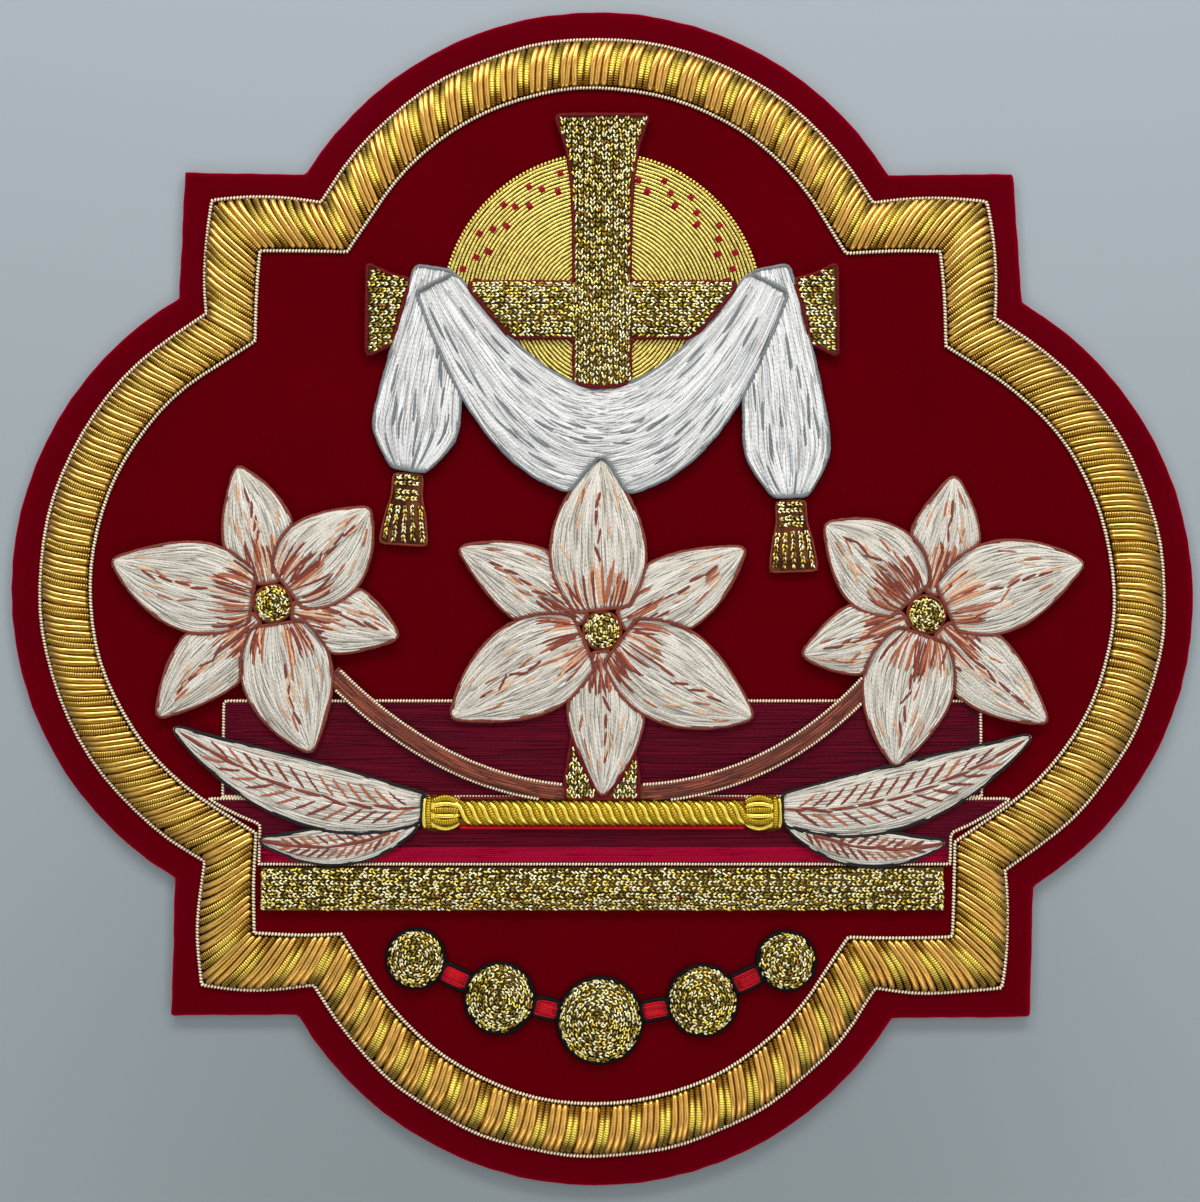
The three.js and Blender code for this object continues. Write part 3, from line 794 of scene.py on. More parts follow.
def rows_of_stitches(strip, length, spacing, overlap=0.62):
    """Long and short stitches in staggered rows: their starts and ends along a strip, and their lines."""
    share = length / strip.length
    starts, ends, lines = [], [], []
    t = -0.6 * share
    while t < 1:
        half = strip.half_width(np.clip(t + share / 2, 0.04, 0.96))
        count = max(2, int(2 * half / spacing))
        lines.append(np.linspace(-0.97, 0.97, count) + RNG.normal(0, 0.25 / count, count))
        starts.append(t + RNG.uniform(-0.28, 0.28, count) * share)
        ends.append(starts[-1] + share * RNG.uniform(0.8, 1.25, count))
        t += share * overlap
    return np.concatenate(starts), np.concatenate(ends), np.concatenate(lines)


def strip_paths(strip, starts, ends, lines, drift=0.05):
    """Fine plan paths of stitches along a strip, each drifting a little off its line."""
    share = np.linspace(0, 1, 25)
    t = starts[:, None] + (ends - starts)[:, None] * share
    v = lines[:, None] + RNG.normal(0, drift, (len(lines), 1)) * (share - 0.5)
    return strip.at(t, v)


def trimmed(plans, top):
    """Cuts each path to its longest run on the solid, in even steps. Also says which paths are left."""
    kept, cut = [], []
    for index, flags in enumerate(top.inside(plans)):
        runs = runs_of(flags, 3)
        if not runs:
            continue
        first, last = max(runs, key=lambda run: run[1] - run[0])
        path = resampled(plans[index, first:last], STITCH_STEPS)
        if path_length(path) >= LEAST_STITCH:
            kept.append(index)
            cut.append(path)
    return np.array(cut).reshape(-1, STITCH_STEPS, 2), np.array(kept, int)


def add_stitches(piece, plans, top, tints, half_width=0.24, half_height=0.15, lift=0.0):
    """Lays stitches on a solid: plan paths in even steps, each a little above or below its neighbours."""
    if not len(plans):
        return
    ground = top.height(plans) + lift + RNG.uniform(0, 0.09, (len(plans), 1)) + STITCH_DIP
    widths = half_width * RNG.uniform(0.85, 1.15, (len(plans), 1)) * STITCH_TAPER
    add_tubes(piece, raised(plans, ground), widths, half_height * (0.4 + 0.6 * STITCH_TAPER), tints)


def sew(piece, plans, top, palette, *sizes):
    """Stitches along plan paths, where they lie on the solid, in a palette's colours."""
    plans, kept = trimmed(plans, top)
    add_stitches(piece, plans, top, choose(palette, len(kept)), *sizes)


def choose(palette, count):
    """Random picks of a palette's colours, each a little lighter or darker."""
    colours, weights = palette
    picks = RNG.choice(len(colours), count, p=np.array(weights) / np.sum(weights))
    return np.array(colours)[picks] * RNG.uniform(0.88, 1.08, (count, 1))


def smoothed(values, rounds):
    """Values round a closed path, each blended with its neighbours."""
    for _ in range(rounds):
        values = (np.roll(values, 1, 0) + values + np.roll(values, -1, 0)) / 3
    return values


def add_outline(piece, name, top, tint, half_width=0.38, inset=-0.08, tall=0.5):
    """Threads laid along the edges of a solid, tall enough to cover its side."""
    for loop in plan_loops(name):
        count = max(8, int(path_length(loop[:, :2], True) / 0.8))
        plan = smoothed(resampled(loop[:, :2], count, True), 1)
        plan = plan + leftward(plan) * inset
        path = raised(plan, smoothed(top.height(plan), 2) - tall + 0.3)[None]
        widths = half_width * RNG.uniform(0.8, 1.15, (1, count))
        tints = tint * RNG.uniform(0.85, 1.1, (1, count, 1))
        add_tubes(piece, path, widths, tall, tints, profile=FIVE_UP, closed=True)


def outline_piece(name, nodes, top, tint, *sizes):
    """A piece of its own for the outlines of some solids."""
    piece = Piece()
    for node in nodes:
        add_outline(piece, node, top, tint, *sizes)
    piece.finish(f"{name}_outline", DARK_SILK, "brown_silk")


def silk_piece(name, material, slot, strip, palette, length=8.0, outline=None, accents=None):
    """One silk piece: padding, long and short stitches along a strip, accents and an outline."""
    # The padding is the palette's first colour darkened, painted shade where it shows between stitches.
    piece, top = padded([name], palette[0][0] * 0.55)
    sew(piece, strip_paths(strip, *rows_of_stitches(strip, length, 0.4)), top, palette)
    if accents:
        accents(piece, strip, top)
    if outline is not None:
        add_outline(piece, name, top, outline)
    piece.finish(f"{name}_silk", material, slot, name)


def add_accents(piece, strip, top, t, v, length, tint, half_width=0.3, drift=0.12):
    """Single stitches over the rest, at shares t along and v across a strip."""
    t, v = np.atleast_1d(t), np.atleast_1d(v)
    plans, kept = trimmed(strip_paths(strip, t, t + length / strip.length, v, drift), top)
    add_stitches(piece, plans, top, np.atleast_2d(tint)[kept], half_width, 0.16, 0.1)


# Lilies, leaves and stems.

# A lily's centre, its petals' reach and width, the way the first one points, and the way in which the
# petals reach further, by the share far.
Lily = namedtuple("Lily", "name x y reach width turn lean far")
LILIES = [
    Lily("lily_middle", 0, -8, 32, 17.5, turn=90, lean=270, far=0.0),
    Lily("lily_left", -61, -3, 28, 16.5, turn=165, lean=200, far=0.12),
    Lily("lily_right", 60, -5, 28, 16.5, turn=18, lean=340, far=0.12),
]
PETALS = 6
BACK_PETAL_REACH = 0.95
BACK_PETAL_WIDTH = 0.8
PETAL_BEND = 0.09
PETAL_START = 4.0
THROAT_RADIUS = 3.4

# Base, bend, tip and width.
LEAVES = {
    "leaf_left_long": ((-30, -40.2), (-53, -43), (-79, -26), 11.5),
    "leaf_left_short": ((-34, -43), (-47, -50), (-63, -46.5), 7),
    "leaf_right_long": ((30, -40.5), (53, -43.5), (79, -27.5), 11.5),
    "leaf_right_short": ((34, -43), (47, -50.5), (63, -47), 7),
}
STEMS = {
    "stem_left": ((-7, -38), (-30, -36), (-50, -16), 3.4),
    "stem_right": ((7, -38), (31, -37), (49, -18), 3.4),
}
LEAST_HALF_WIDTH = 0.35


def petal_strip(lily, index):
    back = index % 2 == 1
    angle = math.radians(lily.turn + 360 * index / PETALS)
    to_lean = math.cos(angle - math.radians(lily.lean))
    reach = lily.reach * (BACK_PETAL_REACH if back else 1) * (1 + lily.far * to_lean)
    half = lily.width * (BACK_PETAL_WIDTH if back else 1) / 2
    bend = angle + (PETAL_BEND if index % 3 == 0 else -PETAL_BEND)

    def out(distance, way):
        return lily.x + distance * math.cos(way), lily.y + distance * math.sin(way)

    middle = out((PETAL_START + reach) / 2, bend)
    return Strip(out(PETAL_START, angle), middle, out(reach, angle), partial(petal_half_width, half))


def petal_half_width(half, t):
    return np.maximum(LEAST_HALF_WIDTH, half * np.sin(math.pi * (0.12 + 0.88 * t) ** 0.85) ** 0.8)


def leaf_half_width(half, t):
    return np.maximum(LEAST_HALF_WIDTH, half * np.abs(np.sin(math.pi * (0.06 + 0.94 * t))) ** 0.8)


def petal_accents(piece, strip, top):
    """Brown and rust rays out of the throat, a broken midrib, and a few flecks."""
    rays = RNG.uniform(-0.85, 0.85, 26)
    reach = 4.5 + 4.5 * (1 - np.abs(rays)) + RNG.uniform(-1.5, 2.5, len(rays))
    for ray, length, tint in zip(rays, reach, choose(RAYS, len(rays))):
        add_accents(piece, strip, top, -0.02, ray, length, tint, 0.27)
    ribs = np.linspace(0.3, 0.66, 4)
    add_accents(piece, strip, top, ribs, RNG.normal(0, 0.03, len(ribs)), 3.4, choose(RIBS, len(ribs)))
    t = RNG.uniform(0.3, 0.75, 9)
    v = RNG.uniform(-0.75, 0.75, len(t))
    add_accents(piece, strip, top, t, v, 3.6, choose(FLECKS, len(t)), 0.24)


def leaf_accents(piece, strip, top):
    """A brown midrib with slanting side veins in brown and rust."""
    ribs = np.linspace(0.04, 0.86, 9)
    add_accents(piece, strip, top, ribs, RNG.normal(0, 0.02, len(ribs)), 6.4, choose(RIBS, len(ribs)), 0.34)
    veins = np.linspace(0.12, 0.8, 13)
    share = np.linspace(0, 1, 25)
    for side in (-1, 1):
        t, v = np.broadcast_arrays(veins[:, None] + 0.09 * share, side * (0.08 + 0.62 * share))
        plans, kept = trimmed(strip.at(t, v), top)
        add_stitches(piece, plans, top, choose(VEINS, len(veins))[kept], 0.28, 0.16, 0.1)


def make_lilies():
    for lily in LILIES:
        for index in range(PETALS):
            strip = petal_strip(lily, index)
            silk_piece(f"{lily.name}_petal_{index + 1}", CREAM_SILK, "cream_silk", strip, CREAM,
                       outline=SILK_BROWN, accents=petal_accents)
        make_coil(f"{lily.name}_throat", lily.x, lily.y, THROAT_RADIUS, SILK_BROWN)


def make_leaves():
    for name, (base, bend, tip, width) in LEAVES.items():
        strip = Strip(base, bend, tip, partial(leaf_half_width, width / 2))
        silk_piece(name, CREAM_SILK, "cream_silk", strip, CREAM, outline=SILK_BLACK, accents=leaf_accents)


def make_stems():
    for name, (base, bend, tip, width) in STEMS.items():
        strip = Strip(base, bend, tip, partial(even, width / 2))
        silk_piece(name, CREAM_SILK, "brown_silk", strip, BROWN, 7.0)
        top = Top(name)
        edges = Piece()
        for side in (-1, 1):
            plan = strip.at(np.linspace(0, 1, 60), np.full(60, 0.94 * side))
            plan = plan[top.inside(plan)]
            add_twist(edges, raised(plan, top.height(plan) + 0.12), GOLD_IVORY, closed=False)
        edges.finish(f"{name}_edges", TWIST_GOLD, "gold_twist")


# The white cloth: base, bend, tip, width, and the width's share at the swag's ends and the tails' tops.

SWAG = ((-31, 57), (0, -3), (31, 57), 20, 0.4)
TAILS = {
    "drape_tail_left": ((-30, 59.5), (-33, 42), (-36, 22), 16, 0.62),
    "drape_tail_right": ((30, 59.5), (34, 40), (35, 17), 16, 0.62),
}
GATHER = 0.8

# Folds: the line across the cloth, and where along it each starts and ends.
SWAG_FOLDS = [
    (-0.5, 0.02, 0.34), (0.45, 0.04, 0.2), (0.1, 0.3, 0.62), (-0.5, 0.6, 0.9), (0.5, 0.72, 0.9),
]
TAIL_FOLDS = [(-0.55, 0.5, 0.85), (0.1, 0.05, 0.3), (0.05, 0.62, 0.88), (0.6, 0.45, 0.8)]


def swag_half_width(width, end_share, t):
    return width / 2 * mixed(end_share, 1, np.sin(math.pi * t))


def tail_half_width(width, top_share, t):
    widening = mixed(top_share, 1, t / GATHER)
    gathered = 1 - 0.62 * (np.maximum(0, t - GATHER) / (1 - GATHER)) ** 1.4
    return width / 2 * np.where(t < GATHER, widening, gathered)


def fold_accents(folds, piece, strip, top):
    """Groups of long grey strokes down the folds, each group fanned and staggered."""
    for line, first, last in folds:
        count = max(3, int((last - first) * strip.length / 2.8))
        t = np.linspace(first, last, count) + RNG.normal(0, 0.012, count)
        v = line + 0.16 * (np.arange(count) % 3 - 1) + RNG.normal(0, 0.03, count)
        for place, across, tint in zip(t, v, choose(FOLDS, count)):
            length = RNG.uniform(4.5, 8.5)
            add_accents(piece, strip, top, place, across, length, tint, 0.26, 0.05)


def drape_piece(name, measures, half_width, length, folds):
    *line, width, share = measures
    strip = Strip(*line, partial(half_width, width, share))
    accents = partial(fold_accents, folds)
    silk_piece(name, WHITE_SILK, "white_silk", strip, WHITE, length, SILK_GREY, accents)


def make_drape():
    drape_piece("drape_swag", SWAG, swag_half_width, 10.0, SWAG_FOLDS)
    for name, measures in TAILS.items():
        drape_piece(name, measures, tail_half_width, 9.0, TAIL_FOLDS)


# The burgundy steps.

def make_steps():
    for name in ("step_upper", "step_lower"):
        (west, south, _), (east, north, level) = solid_box(name)
        middle = (south + north) / 2
        strip = straight((west, middle), (east, middle), partial(even, (north - south) / 2))
        # The dark burgundy padding is painted shade between stitches.
        piece, top = padded([name], linear(66, 4, 22))
        paths = strip_paths(strip, *rows_of_stitches(strip, 21.0, 0.42, 0.8), 0.02)
        sew(piece, paths, top, BURGUNDY, 0.25, 0.1, -0.05)
        if name == "step_lower":
            add_crimson_line(piece, west, east, south, top)
        piece.finish(f"{name}_silk", BURGUNDY_SILK, "burgundy_silk", name)
        edge = Piece()
        for loop in plan_loops(name):
            plan = resampled(loop[:, :2], int(path_length(loop[:, :2], True)), True)
            add_twist(edge, raised(plan, level), GOLD_IVORY)
        edge.finish(f"{name}_edge", TWIST_GOLD, "gold_twist")


def add_crimson_line(piece, west, east, south, top):
    """Rows of crimson silk along the bottom of the lower step."""
    for y in np.arange(south + 0.6, south + 2.9, 0.38):
        starts = np.arange(west - 10, east, 15.0) + RNG.uniform(-5, 5)
        ends = starts + RNG.uniform(18, 22, len(starts))
        x = mixed(starts[:, None], ends[:, None], np.linspace(0, 1, 25))
        sew(piece, plan_of(x, y), top, CRIMSON, 0.25, 0.12, 0.06)


# Gold chain stitch. Half a link as four places along it: how far along, aside and up, its girth and its
# painted shade towards the ends.

LINK_ALONG = np.array([0.0, 0.2, 0.52, 0.82])
LINK_ASIDE = np.array([0.02, 0.19, 0.35, 0.4])
LINK_LIFT = np.array([0.02, 0.18, 0.16, 0.0])
LINK_WIDTH = np.array([0.12, 0.24, 0.24, 0.12])
LINK_PAINTED_SHADE = np.array([0.35, 1.0, 1.0, 0.35])[:, None]
LINK_PITCH = 0.85
COIL_PITCH = 1.05
CHAIN_ROW = 1.1


def add_chain(piece, plan, top, scale=1.0):
    """A row of chain stitch along a plan path, where it is on the solid."""
    length = path_length(plan)
    pitch = LINK_PITCH * scale
    fine = resampled(plan, max(4, int(length / 0.2)))
    lengths = np.linspace(0, length, len(fine))
    starts = np.arange(0, length - 0.9 * pitch, pitch)
    starts = starts + RNG.uniform(0, 0.3) + RNG.normal(0, 0.1, len(starts))
    for side in (-1, 1):
        reach = scale * RNG.uniform(0.85, 1.15, (len(starts), 1))
        along = starts[:, None] + LINK_ALONG * reach + RNG.normal(0, 0.08, (len(starts), 1))
        aside = side * LINK_ASIDE * scale * RNG.uniform(0.6, 1.25, (len(starts), 1))
        aside = aside + RNG.normal(0, 0.06, (len(starts), 1))
        left = between(along, lengths, leftward(fine, False))
        places = between(along, lengths, fine) + left * aside[..., None]
        places = places[top.inside(places).all(1)]
        if not len(places):
            continue
        height = top.height(places) + LINK_LIFT + RNG.uniform(-0.05, 0.1, (len(places), 1))
        paths = raised(places, height)
        tints = choose(CHAIN, len(places))[:, None] * LINK_PAINTED_SHADE
        add_tubes(piece, paths, LINK_WIDTH, 0.2, tints, 0.4, LOW_ARCH, rim=LOW_PAINTED_EDGE_SHADE)


def add_chain_runs(piece, plan, top):
    """Chain stitch along a path, broken where the solid is."""
    plan = np.array(plan, float)
    fine = resampled(plan, max(8, int(path_length(plan) / 0.3)))
    for first, last in runs_of(top.inside(fine)[:-1], 7):
        add_chain(piece, fine[first:last], top)


def spiral(x, y, radius):
    """A plan path wound out from a centre, with a whole turn along its rim."""
    turns = radius / COIL_PITCH + 1
    angle = np.linspace(0, 1, int(60 * turns)) ** 0.5 * TURN * turns
    reach = np.minimum(COIL_PITCH * angle / TURN, radius)
    return plan_of(x + reach * np.cos(angle), y + reach * np.sin(angle))


def make_coil(name, x, y, radius, outline, outline_width=0.4):
    """A disc of chain stitch laid in a spiral, with a dark outline."""
    piece, top = padded([name], GOLD_PAINTED_GAP_SHADE)
    add_chain(piece, spiral(x, y, radius - 0.5), top)
    piece.finish(f"{name}_chain", CHAIN_GOLD, "gold_chain", name)
    outline_piece(name, [name], top, outline, outline_width, -0.12)


CROSS_NODES = ["cross_1", "cross_2", "cross_3", "cross_4"]
CROSS = {"arm": 52, "top": 89, "foot": -41, "reach": 44, "half": 5.2}
CROSS_ROWS = np.arange(-8.4, 8.5, CHAIN_ROW)


def make_cross():
    """Rows of chain up the post and out along the arms, with more of them in the flared ends."""
    piece, top = padded(CROSS_NODES, GOLD_PAINTED_GAP_SHADE)
    half, arm = CROSS["half"], CROSS["arm"]
    for offset in CROSS_ROWS:
        if abs(offset) < half:
            posts = [(CROSS["foot"], CROSS["top"])]
        else:
            posts = [(CROSS["foot"], arm - half), (arm + half, CROSS["top"])]
        for low, high in posts:
            add_chain_runs(piece, [(offset, low), (offset, high)], top)
        for side in (-1, 1):
            ends = [(side * (half + 0.3), arm + offset), (side * CROSS["reach"], arm + offset)]
            add_chain_runs(piece, ends, top)
    piece.finish("cross_chain", CHAIN_GOLD, "gold_chain", *CROSS_NODES)
    outline_piece("cross", CROSS_NODES, top, SILK_MAROON, 0.45, 0.0)


BRAID_ROWS = 7
BRAID_MARGIN = 0.55


def make_braid():
    """Swaying rows of chain along the braid, and one across each end."""
    name = "gold_braid"
    (west, south, _), (east, north, _) = solid_box(name)
    piece, top = padded([name], GOLD_PAINTED_GAP_SHADE)
    x = np.linspace(west, east, 300)
    for y in np.linspace(south + BRAID_MARGIN, north - BRAID_MARGIN, BRAID_ROWS):
        sway = waver(0.12, int(1000 + y * 10), fastest=30)(np.linspace(0, 1, len(x)))
        add_chain_runs(piece, plan_of(x, y + sway), top)
    for x in (west + BRAID_MARGIN, east - BRAID_MARGIN):
        add_chain_runs(piece, [(x, north), (x, south)], top)
    piece.finish(f"{name}_chain", CHAIN_GOLD, "gold_chain", name)


# Tassels: base, tip, and the widths of head and skirt.
TASSELS = {
    "tassel_left": ((-36.1, 21.2), (-37, 8), 5.5, 9),
    "tassel_right": ((35.1, 16.2), (35.6, 3), 5.5, 9),
}
TASSEL_HEAD_SHARE = 0.35


def tassel_half_width(head, skirt, t):
    spread = np.maximum(0, (t - TASSEL_HEAD_SHARE) / (1 - TASSEL_HEAD_SHARE)) ** 0.6
    return mixed(head, skirt, spread) / 2


def make_tassels():
    """Chain across each head and down each skirt."""
    for name, (base, tip, head, skirt) in TASSELS.items():
        strip = straight(base, tip, partial(tassel_half_width, head, skirt))
        # The dark brown padding is painted shade between the links.
        piece, top = padded([name], linear(92, 44, 18))
        across = np.linspace(-0.92, 0.92, 20)
        for t in (0.05, 0.14, 0.26, 0.35):
            add_chain(piece, strip.at(np.full(len(across), t), across), top, 0.9)
        down = np.linspace(0.43, 0.98, 30)
        for v in (-0.8, -0.4, 0.0, 0.4, 0.8):
            add_chain(piece, strip.at(down, np.full(len(down), v)), top, 0.9)
        piece.finish(f"{name}_chain", CHAIN_GOLD, "gold_chain", name)
        outline_piece(name, [name], top, SILK_BROWN, 0.25, 0.0, 0.3)


# The couched disc.

DISC = {"x": 0, "y": 52, "radius": 30}
COUCHING_PITCH = 0.69
COUCHING_STEP = 0.3
# Couching: raised places in turn with lower ones darkened as painted shade.
COUCHING_BUMP_AND_SHADE = np.array([1.0, 0.66])
TIE_RINGS = [24.1, 25.7, 27.3]
TIES = 26
TIE_THREADS = (-0.36, 0.0, 0.36)
TIE_REACH = np.array([-0.68, -0.5, 0.5, 0.68])[:, None]
TIE_LEVEL = np.array([-0.1, 0.12, 0.12, -0.1])
TIE_WIDTH = np.array([0.16, 0.2, 0.2, 0.16])


def circle(radius, count):
    """Plan points round the disc's centre."""
    angle = TURN * np.arange(count) / count
    return plan_of(DISC["x"] + radius * np.cos(angle), DISC["y"] + radius * np.sin(angle))


def visible_runs(plan, cover):
    """The stretches of a ring that don't lie well under other work, each with whether it is closed."""
    hidden = cover.inside(plan)
    buried = hidden.copy()
    for shift in range(-3, 4):
        buried &= np.roll(hidden, shift)
    if not buried.any():
        return [(plan, True)]
    turn = -1 - np.argmax(buried)
    plan = np.roll(plan, turn, 0)
    return [(plan[first:last], False) for first, last in runs_of(~np.roll(buried, turn), 3)]


def make_disc():
    """Rings of couched thread, raised and bright and then lower and darker as painted shade, in turn, and a
    twist round them.
    """
    name = "gold_disc"
    height = solid_box(name)[1][2]
    cover = Top(*CROSS_NODES, "drape_swag", *TAILS)
    # The dark brown padding is painted shade between the rings.
    piece, _ = padded([name], linear(70, 46, 8), 0.25)
    for number, radius in enumerate(np.arange(COUCHING_PITCH / 2, DISC["radius"] - 0.5, COUCHING_PITCH)):
        count = max(10, 2 * int(TURN * radius / COUCHING_STEP / 2))
        stray = waver(0.035, 300 + number)(np.arange(count) / count)
        for run, closed in visible_runs(circle(radius + stray, count), cover):
            bump_and_shade = COUCHING_BUMP_AND_SHADE[(np.arange(len(run)) + number) % 2]
            path = raised(run, height - 0.2 + 0.07 * bump_and_shade)[None]
            tint = GOLD_DISC * (bump_and_shade * RNG.uniform(0.7, 1.2, len(run)))[:, None]
            add_tubes(piece, path, 0.36, 0.24, tint[None], 0.3, LOW_ARCH, closed, LOW_PAINTED_EDGE_SHADE)
    piece.finish(f"{name}_couching", DISC_GOLD, "gold_couching", name)
    edge = Piece()
    rim = raised(circle(DISC["radius"] - 0.1, 400), height)
    add_twist(edge, rim, GOLD_DISC, 0.75, 0.42, slant=0.9)
    edge.finish(f"{name}_edge", DISC_GOLD, "gold_twist")
    make_disc_ties(height)


def make_disc_ties(height):
    """Dark red ties over the couched rings, in staggered rows like bricks."""
    centre = np.array([DISC["x"], DISC["y"]])
    paths = []
    for row, radius in enumerate(TIE_RINGS):
        for k in range(TIES):
            angle = TURN * (k + row / len(TIE_RINGS)) / TIES + RNG.normal(0, 0.012)
            outward = np.array([math.cos(angle), math.sin(angle)])
            for thread in TIE_THREADS:
                aside = turned_left(outward) * (thread + RNG.normal(0, 0.03))
                middle = centre + outward * radius + aside
                paths.append(raised(middle + TIE_REACH * outward, height + TIE_LEVEL))
    piece = Piece()
    add_tubes(piece, np.array(paths), TIE_WIDTH, 0.12, choose(BRICK, len(paths)))
    piece.finish("gold_disc_ties", RED_SILK, "red_silk")


# The rod.

ROD = {"y": -41.6, "reach": 33, "half": 2.3, "knob": 3.4}
ROD_INNER = ROD["reach"] - 2 * ROD["knob"]
ROD_PURL_PITCH = 1.05
ROD_PURL_RADIUS = 0.56
ROD_SLANT = 3.6


def add_purls(piece, x, y, top, radius=ROD_PURL_RADIUS):
    """Cut purls along plan paths on a solid, smooth and rough in turn."""
    plans = plan_of(x, y)
    count, steps, _ = plans.shape
    rough = (np.arange(count) % 2).astype(float)
    paths = raised(plans, top.height(plans) - 0.25 + RNG.normal(0, 0.03, (count, 1)))
    width = np.full((count, steps), radius)
    width[:, [0, -1]] = 0.6 * radius
    width = width * np.where(rough > 0, 1.1, 0.8)[:, None]
    # Smooth purls take the pale flash, partly their brighter gilt and partly painted glint, and the rim adds
    # painted shade in the grooves.
    tint = np.where(rough[:, None] > 0, GOLD_ROUGH, GOLD_PAINTED_FLASH) * RNG.uniform(0.88, 1.1, (count, 1))
    add_tubes(piece, paths, width, width, tint, rough, PURL_ARCH, rim=PURL_PAINTED_GROOVE_SHADE)


def add_knob(piece, side, top):
    """A knob: purls lengthwise over its bulge, and three across its outer end."""
    share = np.linspace(0, 1, 9)
    lines = np.linspace(-1, 1, 6)[:, None]
    x = side * mixed(ROD_INNER, ROD["reach"] - 1.5, share)
    bulge = 0.6 + 0.32 * np.sin(math.pi * share)
    add_purls(piece, x, ROD["y"] + ROD["knob"] * lines * 0.9 * bulge, top)
    across = ROD["reach"] - np.array([1.8, 1.0, 0.2])[:, None]
    x = side * (across - 0.2 * (2 * share - 1) ** 2)
    add_purls(piece, x, ROD["y"] + 1.25 * ROD["half"] * (2 * share - 1), top, 0.55)


def make_rod():
    """Slanted purls between two knobs, with a dark and a red thread along the sides."""
    name = "gold_rod"
    # The dark padding is painted shade between the purls.
    piece, top = padded([name], linear(96, 58, 12), 0.3)
    share = np.linspace(0, 1, 9)
    starts = np.arange(-ROD_INNER - ROD_SLANT / 2 + 0.6, ROD_INNER - ROD_SLANT / 2, ROD_PURL_PITCH)
    x = starts[:, None] + ROD_SLANT * (share + 0.1 * np.sin(TURN * share))
    add_purls(piece, x, ROD["y"] + ROD["half"] * (1 - 2 * share) * 0.94, top)
    for side in (-1, 1):
        add_knob(piece, side, top)
    piece.finish(f"{name}_purls", PURL_GOLD, "gold_purl", name)
    edges = Piece()
    for side, tint in ((1, SILK_MAROON), (-1, SILK_SCARLET)):
        plan = plan_of(np.linspace(-ROD_INNER, ROD_INNER, 60), ROD["y"] + side * (ROD["half"] + 0.35))
        add_tubes(edges, raised(plan, top.height(plan) - 0.5)[None], 0.4, 0.5, tint)
    edges.finish(f"{name}_edges", RED_SILK, "red_silk")


# The garland: each roundel's centre and radius, and the bars between them.

ROUNDELS = {
    "roundel_far_left": (-34.2, -68.2, 5.2),
    "roundel_left": (-18.8, -75.4, 6.2),
    "roundel_middle": (-0.4, -79.4, 7.6),
    "roundel_right": (18.4, -75.8, 6.2),
    "roundel_far_right": (33.8, -68.6, 5.2),
}
BAR_WIDTH = 3.4
BAR_STITCHES = 7


def make_garland():
    for name, (x, y, radius) in ROUNDELS.items():
        make_coil(name, x, y, radius, SILK_BLACK, 0.48)
    centres = [(x, y) for x, y, _ in ROUNDELS.values()]
    starts, ends = np.zeros(BAR_STITCHES), np.ones(BAR_STITCHES)
    lines = np.linspace(-0.72, 0.72, BAR_STITCHES)
    for number, (left, right) in enumerate(zip(centres, centres[1:]), 1):
        name = f"red_bar_{number}"
        strip = straight(left, right, partial(even, BAR_WIDTH / 2))
        # The dark red padding is painted shade between stitches.
        piece, top = padded([name], linear(120, 0, 14))
        sew(piece, strip_paths(strip, starts, ends, lines, 0.02), top, SCARLET, 0.26, 0.16)
        piece.finish(f"{name}_silk", RED_SILK, "red_silk", name)
        outline_piece(name, [name], top, SILK_BLACK, 0.5, 0.0)


# The room: floor, light and camera.

FLOOR_REACH = 2.0
FLOOR_LEVEL = -0.0001
FLOOR_SOUTH = (*linear(133, 143, 146), 1)
FLOOR_NORTH = (*linear(143, 152, 158), 1)
# A painted shadow on the floor: its centre, the distances where it starts and stops fading, and the share of
# the grey left at its middle.
PAINTED_SHADOW_SPOT = {"x": -5, "y": -100, "near": 30, "far": 143, "share": 0.78}

# Area lights: place and size in metres, watts and colour.
LIGHTS = {
    "window": ((0.0, 0.56, 0.38), (0.9, 0.16), 4.7, (1.0, 0.98, 0.95)),
    "ceiling": ((0.15, 0.1, 1.1), (0.6, 0.6), 1.3, (1.0, 1.0, 1.0)),
    "left": ((-0.5, 0.0, 0.55), (0.9, 0.25), 0.95, (1.0, 1.0, 1.0)),
    "right": ((0.5, 0.0, 0.55), (0.9, 0.25), 1.3, (1.0, 1.0, 1.0)),
    "front": ((0.0, -0.5, 0.4), (0.7, 0.12), 0.95, (1.0, 1.0, 1.0)),
}


def floor_grey():
    """Grey that is paler to the north, and darker round a spot under the lowest lobe as a painted shadow."""
    look = Look("floor")
    place = look.place()
    y = look.node("SeparateXYZ", {0: place})[1]
    north = look.ranged(look.math("ADD", look.math("MULTIPLY", y, 4.5), 0.5), 0.0, 1.0)
    colours = {"Factor": north, "A": FLOOR_SOUTH, "B": FLOOR_NORTH}
    grey = look.node("Mix", colours, data_type="RGBA")["Result"]
    spot = (PAINTED_SHADOW_SPOT["x"] * MM, PAINTED_SHADOW_SPOT["y"] * MM, 0.0)
    away = look.node("VectorMath", {0: place, 1: spot}, operation="DISTANCE")["Value"]
    near, far = PAINTED_SHADOW_SPOT["near"] * MM, PAINTED_SHADOW_SPOT["far"] * MM
    painted_shade = look.ranged(away, PAINTED_SHADOW_SPOT["share"], 1.0, near, far, interpolation_type="SMOOTHSTEP")
    look.fill(look.shader, {"Base Color": look.scaled(grey, painted_shade), "Roughness": 0.75})
    return look.material


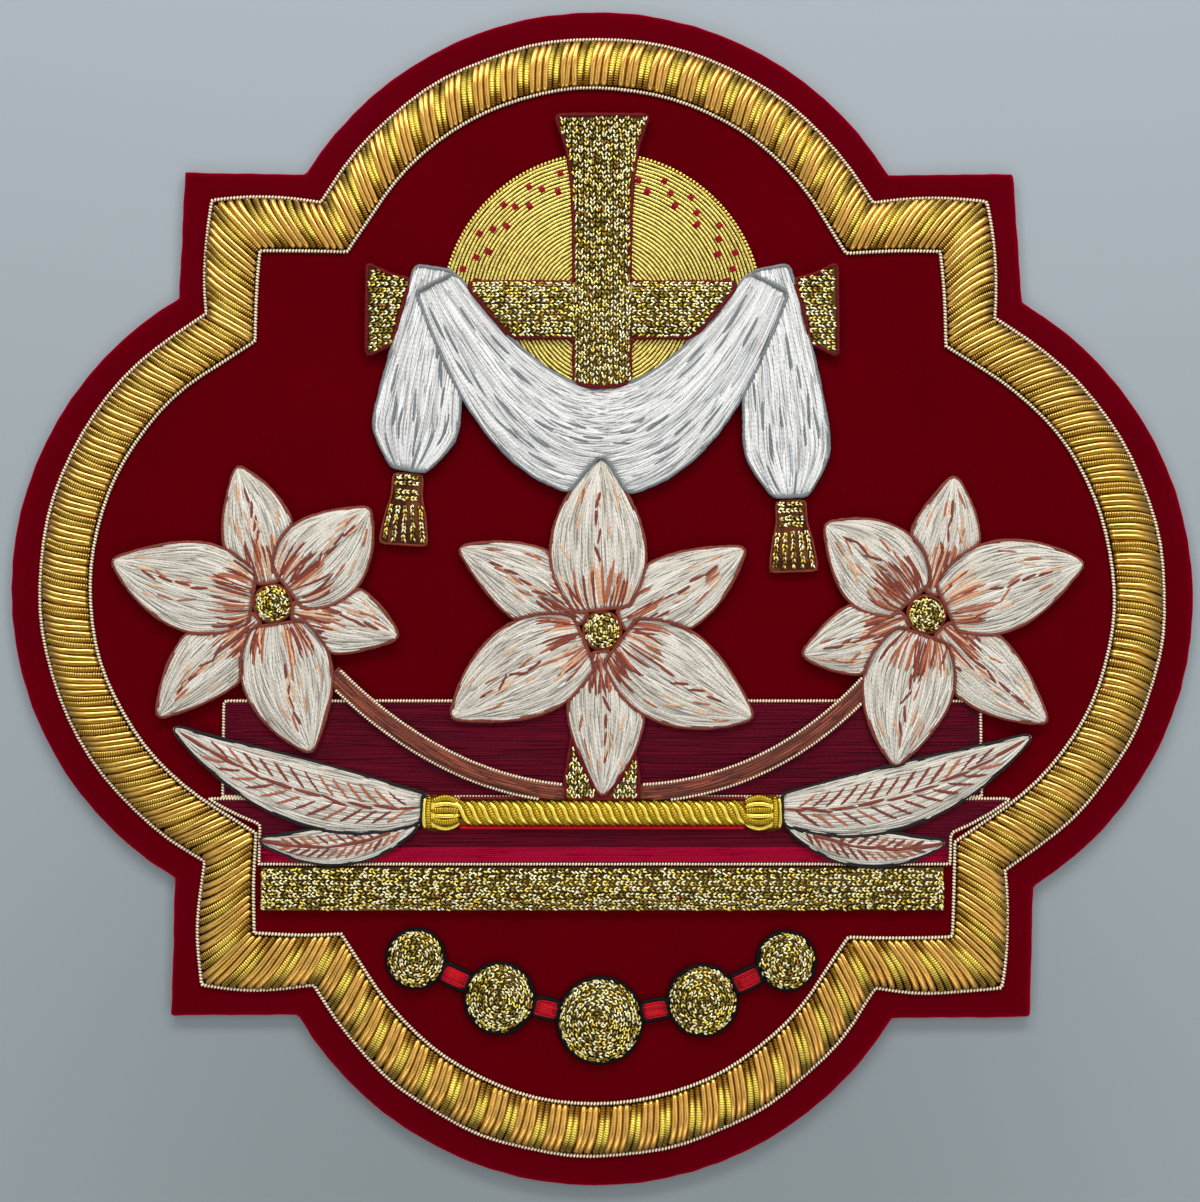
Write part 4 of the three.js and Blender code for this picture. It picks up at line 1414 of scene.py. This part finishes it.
def add_floor():
    mesh = bpy.data.meshes.new("floor")
    ways = [(-1, -1), (1, -1), (1, 1), (-1, 1)]
    corners = [(x * FLOOR_REACH, y * FLOOR_REACH, FLOOR_LEVEL) for x, y in ways]
    mesh.from_pydata(corners, [], [(0, 1, 2, 3)])
    mesh.materials.append(floor_grey())
    add_object("floor", mesh)


def light_room():
    world = bpy.data.worlds.new("room")
    world.use_nodes = True
    background = world.node_tree.nodes["Background"]
    background.inputs["Color"].default_value = (0.9, 0.95, 1.0, 1)
    background.inputs["Strength"].default_value = 0.42
    bpy.context.scene.world = world
    bpy.context.scene.view_settings.view_transform = "Standard"
    for name, (place, size, watts, colour) in LIGHTS.items():
        data = bpy.data.lights.new(name, "AREA")
        data.shape = "RECTANGLE"
        data.size, data.size_y = size
        data.energy = watts
        data.color = colour
        light = add_object(name, data)
        light.location = place
        light.rotation_euler = (-Vector(place)).to_track_quat("-Z", "Y").to_euler()


def add_camera():
    data = bpy.data.cameras.new("camera")
    data.sensor_fit = "HORIZONTAL"
    data.angle = 2 * math.atan(PHOTO_WIDTH / 2 / FOCAL_LENGTH)
    data.clip_start = 0.01
    camera = add_object("camera", data)
    back = CAMERA_DISTANCE * math.sin(CAMERA_TILT)
    rise = CAMERA_DISTANCE * math.cos(CAMERA_TILT)
    camera.location = (CAMERA_AIM[0] * MM, (CAMERA_AIM[1] - back) * MM, rise * MM)
    camera.rotation_euler = (CAMERA_TILT, 0, 0)
    bpy.context.scene.camera = camera


# Gilt has the pitch and slant of its ridges, a roughness, a height of bump, shades and how metallic it is.
# Silk has the pitch of its plies, a roughness, a sheen and a gloss.
VELVET = velvet("velvet")
PURL_GOLD = metal_thread("purl_gold", 0.43, 0.6, 0.3, 0.075)
TWIST_GOLD = metal_thread("twist_gold", 0.25, 2.0, 0.4, 0.01, (0.98, 1.05), 0.1)
DISC_GOLD = metal_thread("disc_gold", 0.45, 1.0, 0.34, 0.04, (0.9, 1.1))
CHAIN_GOLD = metal_thread("chain_gold", 0.4, 1.5, 0.22, 0.04, (0.85, 1.15), 0.8)
CREAM_SILK = silk_thread("cream_silk", 0.9, 0.6, 0.15)
WHITE_SILK = silk_thread("white_silk", 0.9, 0.6, 0.15)
BURGUNDY_SILK = silk_thread("burgundy_silk", 1.2, 0.6, 0.0, 0.06)
RED_SILK = silk_thread("red_silk", 1.2, 0.45, 0.0, 0.12)
DARK_SILK = silk_thread("dark_silk", 0.9, 0.6, 0.0, 0.1)

add_camera()
add_floor()
light_room()
make_panel()
make_border()
make_border_twist("outer_twist", OUTER_TWIST_INSET, bow=0.9, seed=21)
make_border_twist("inner_twist", INNER_TWIST_INSET, bow=0.2, seed=22)
make_disc()
make_steps()
make_lilies()
make_leaves()
make_stems()
make_drape()
make_tassels()
make_cross()
make_braid()
make_rod()
make_garland()
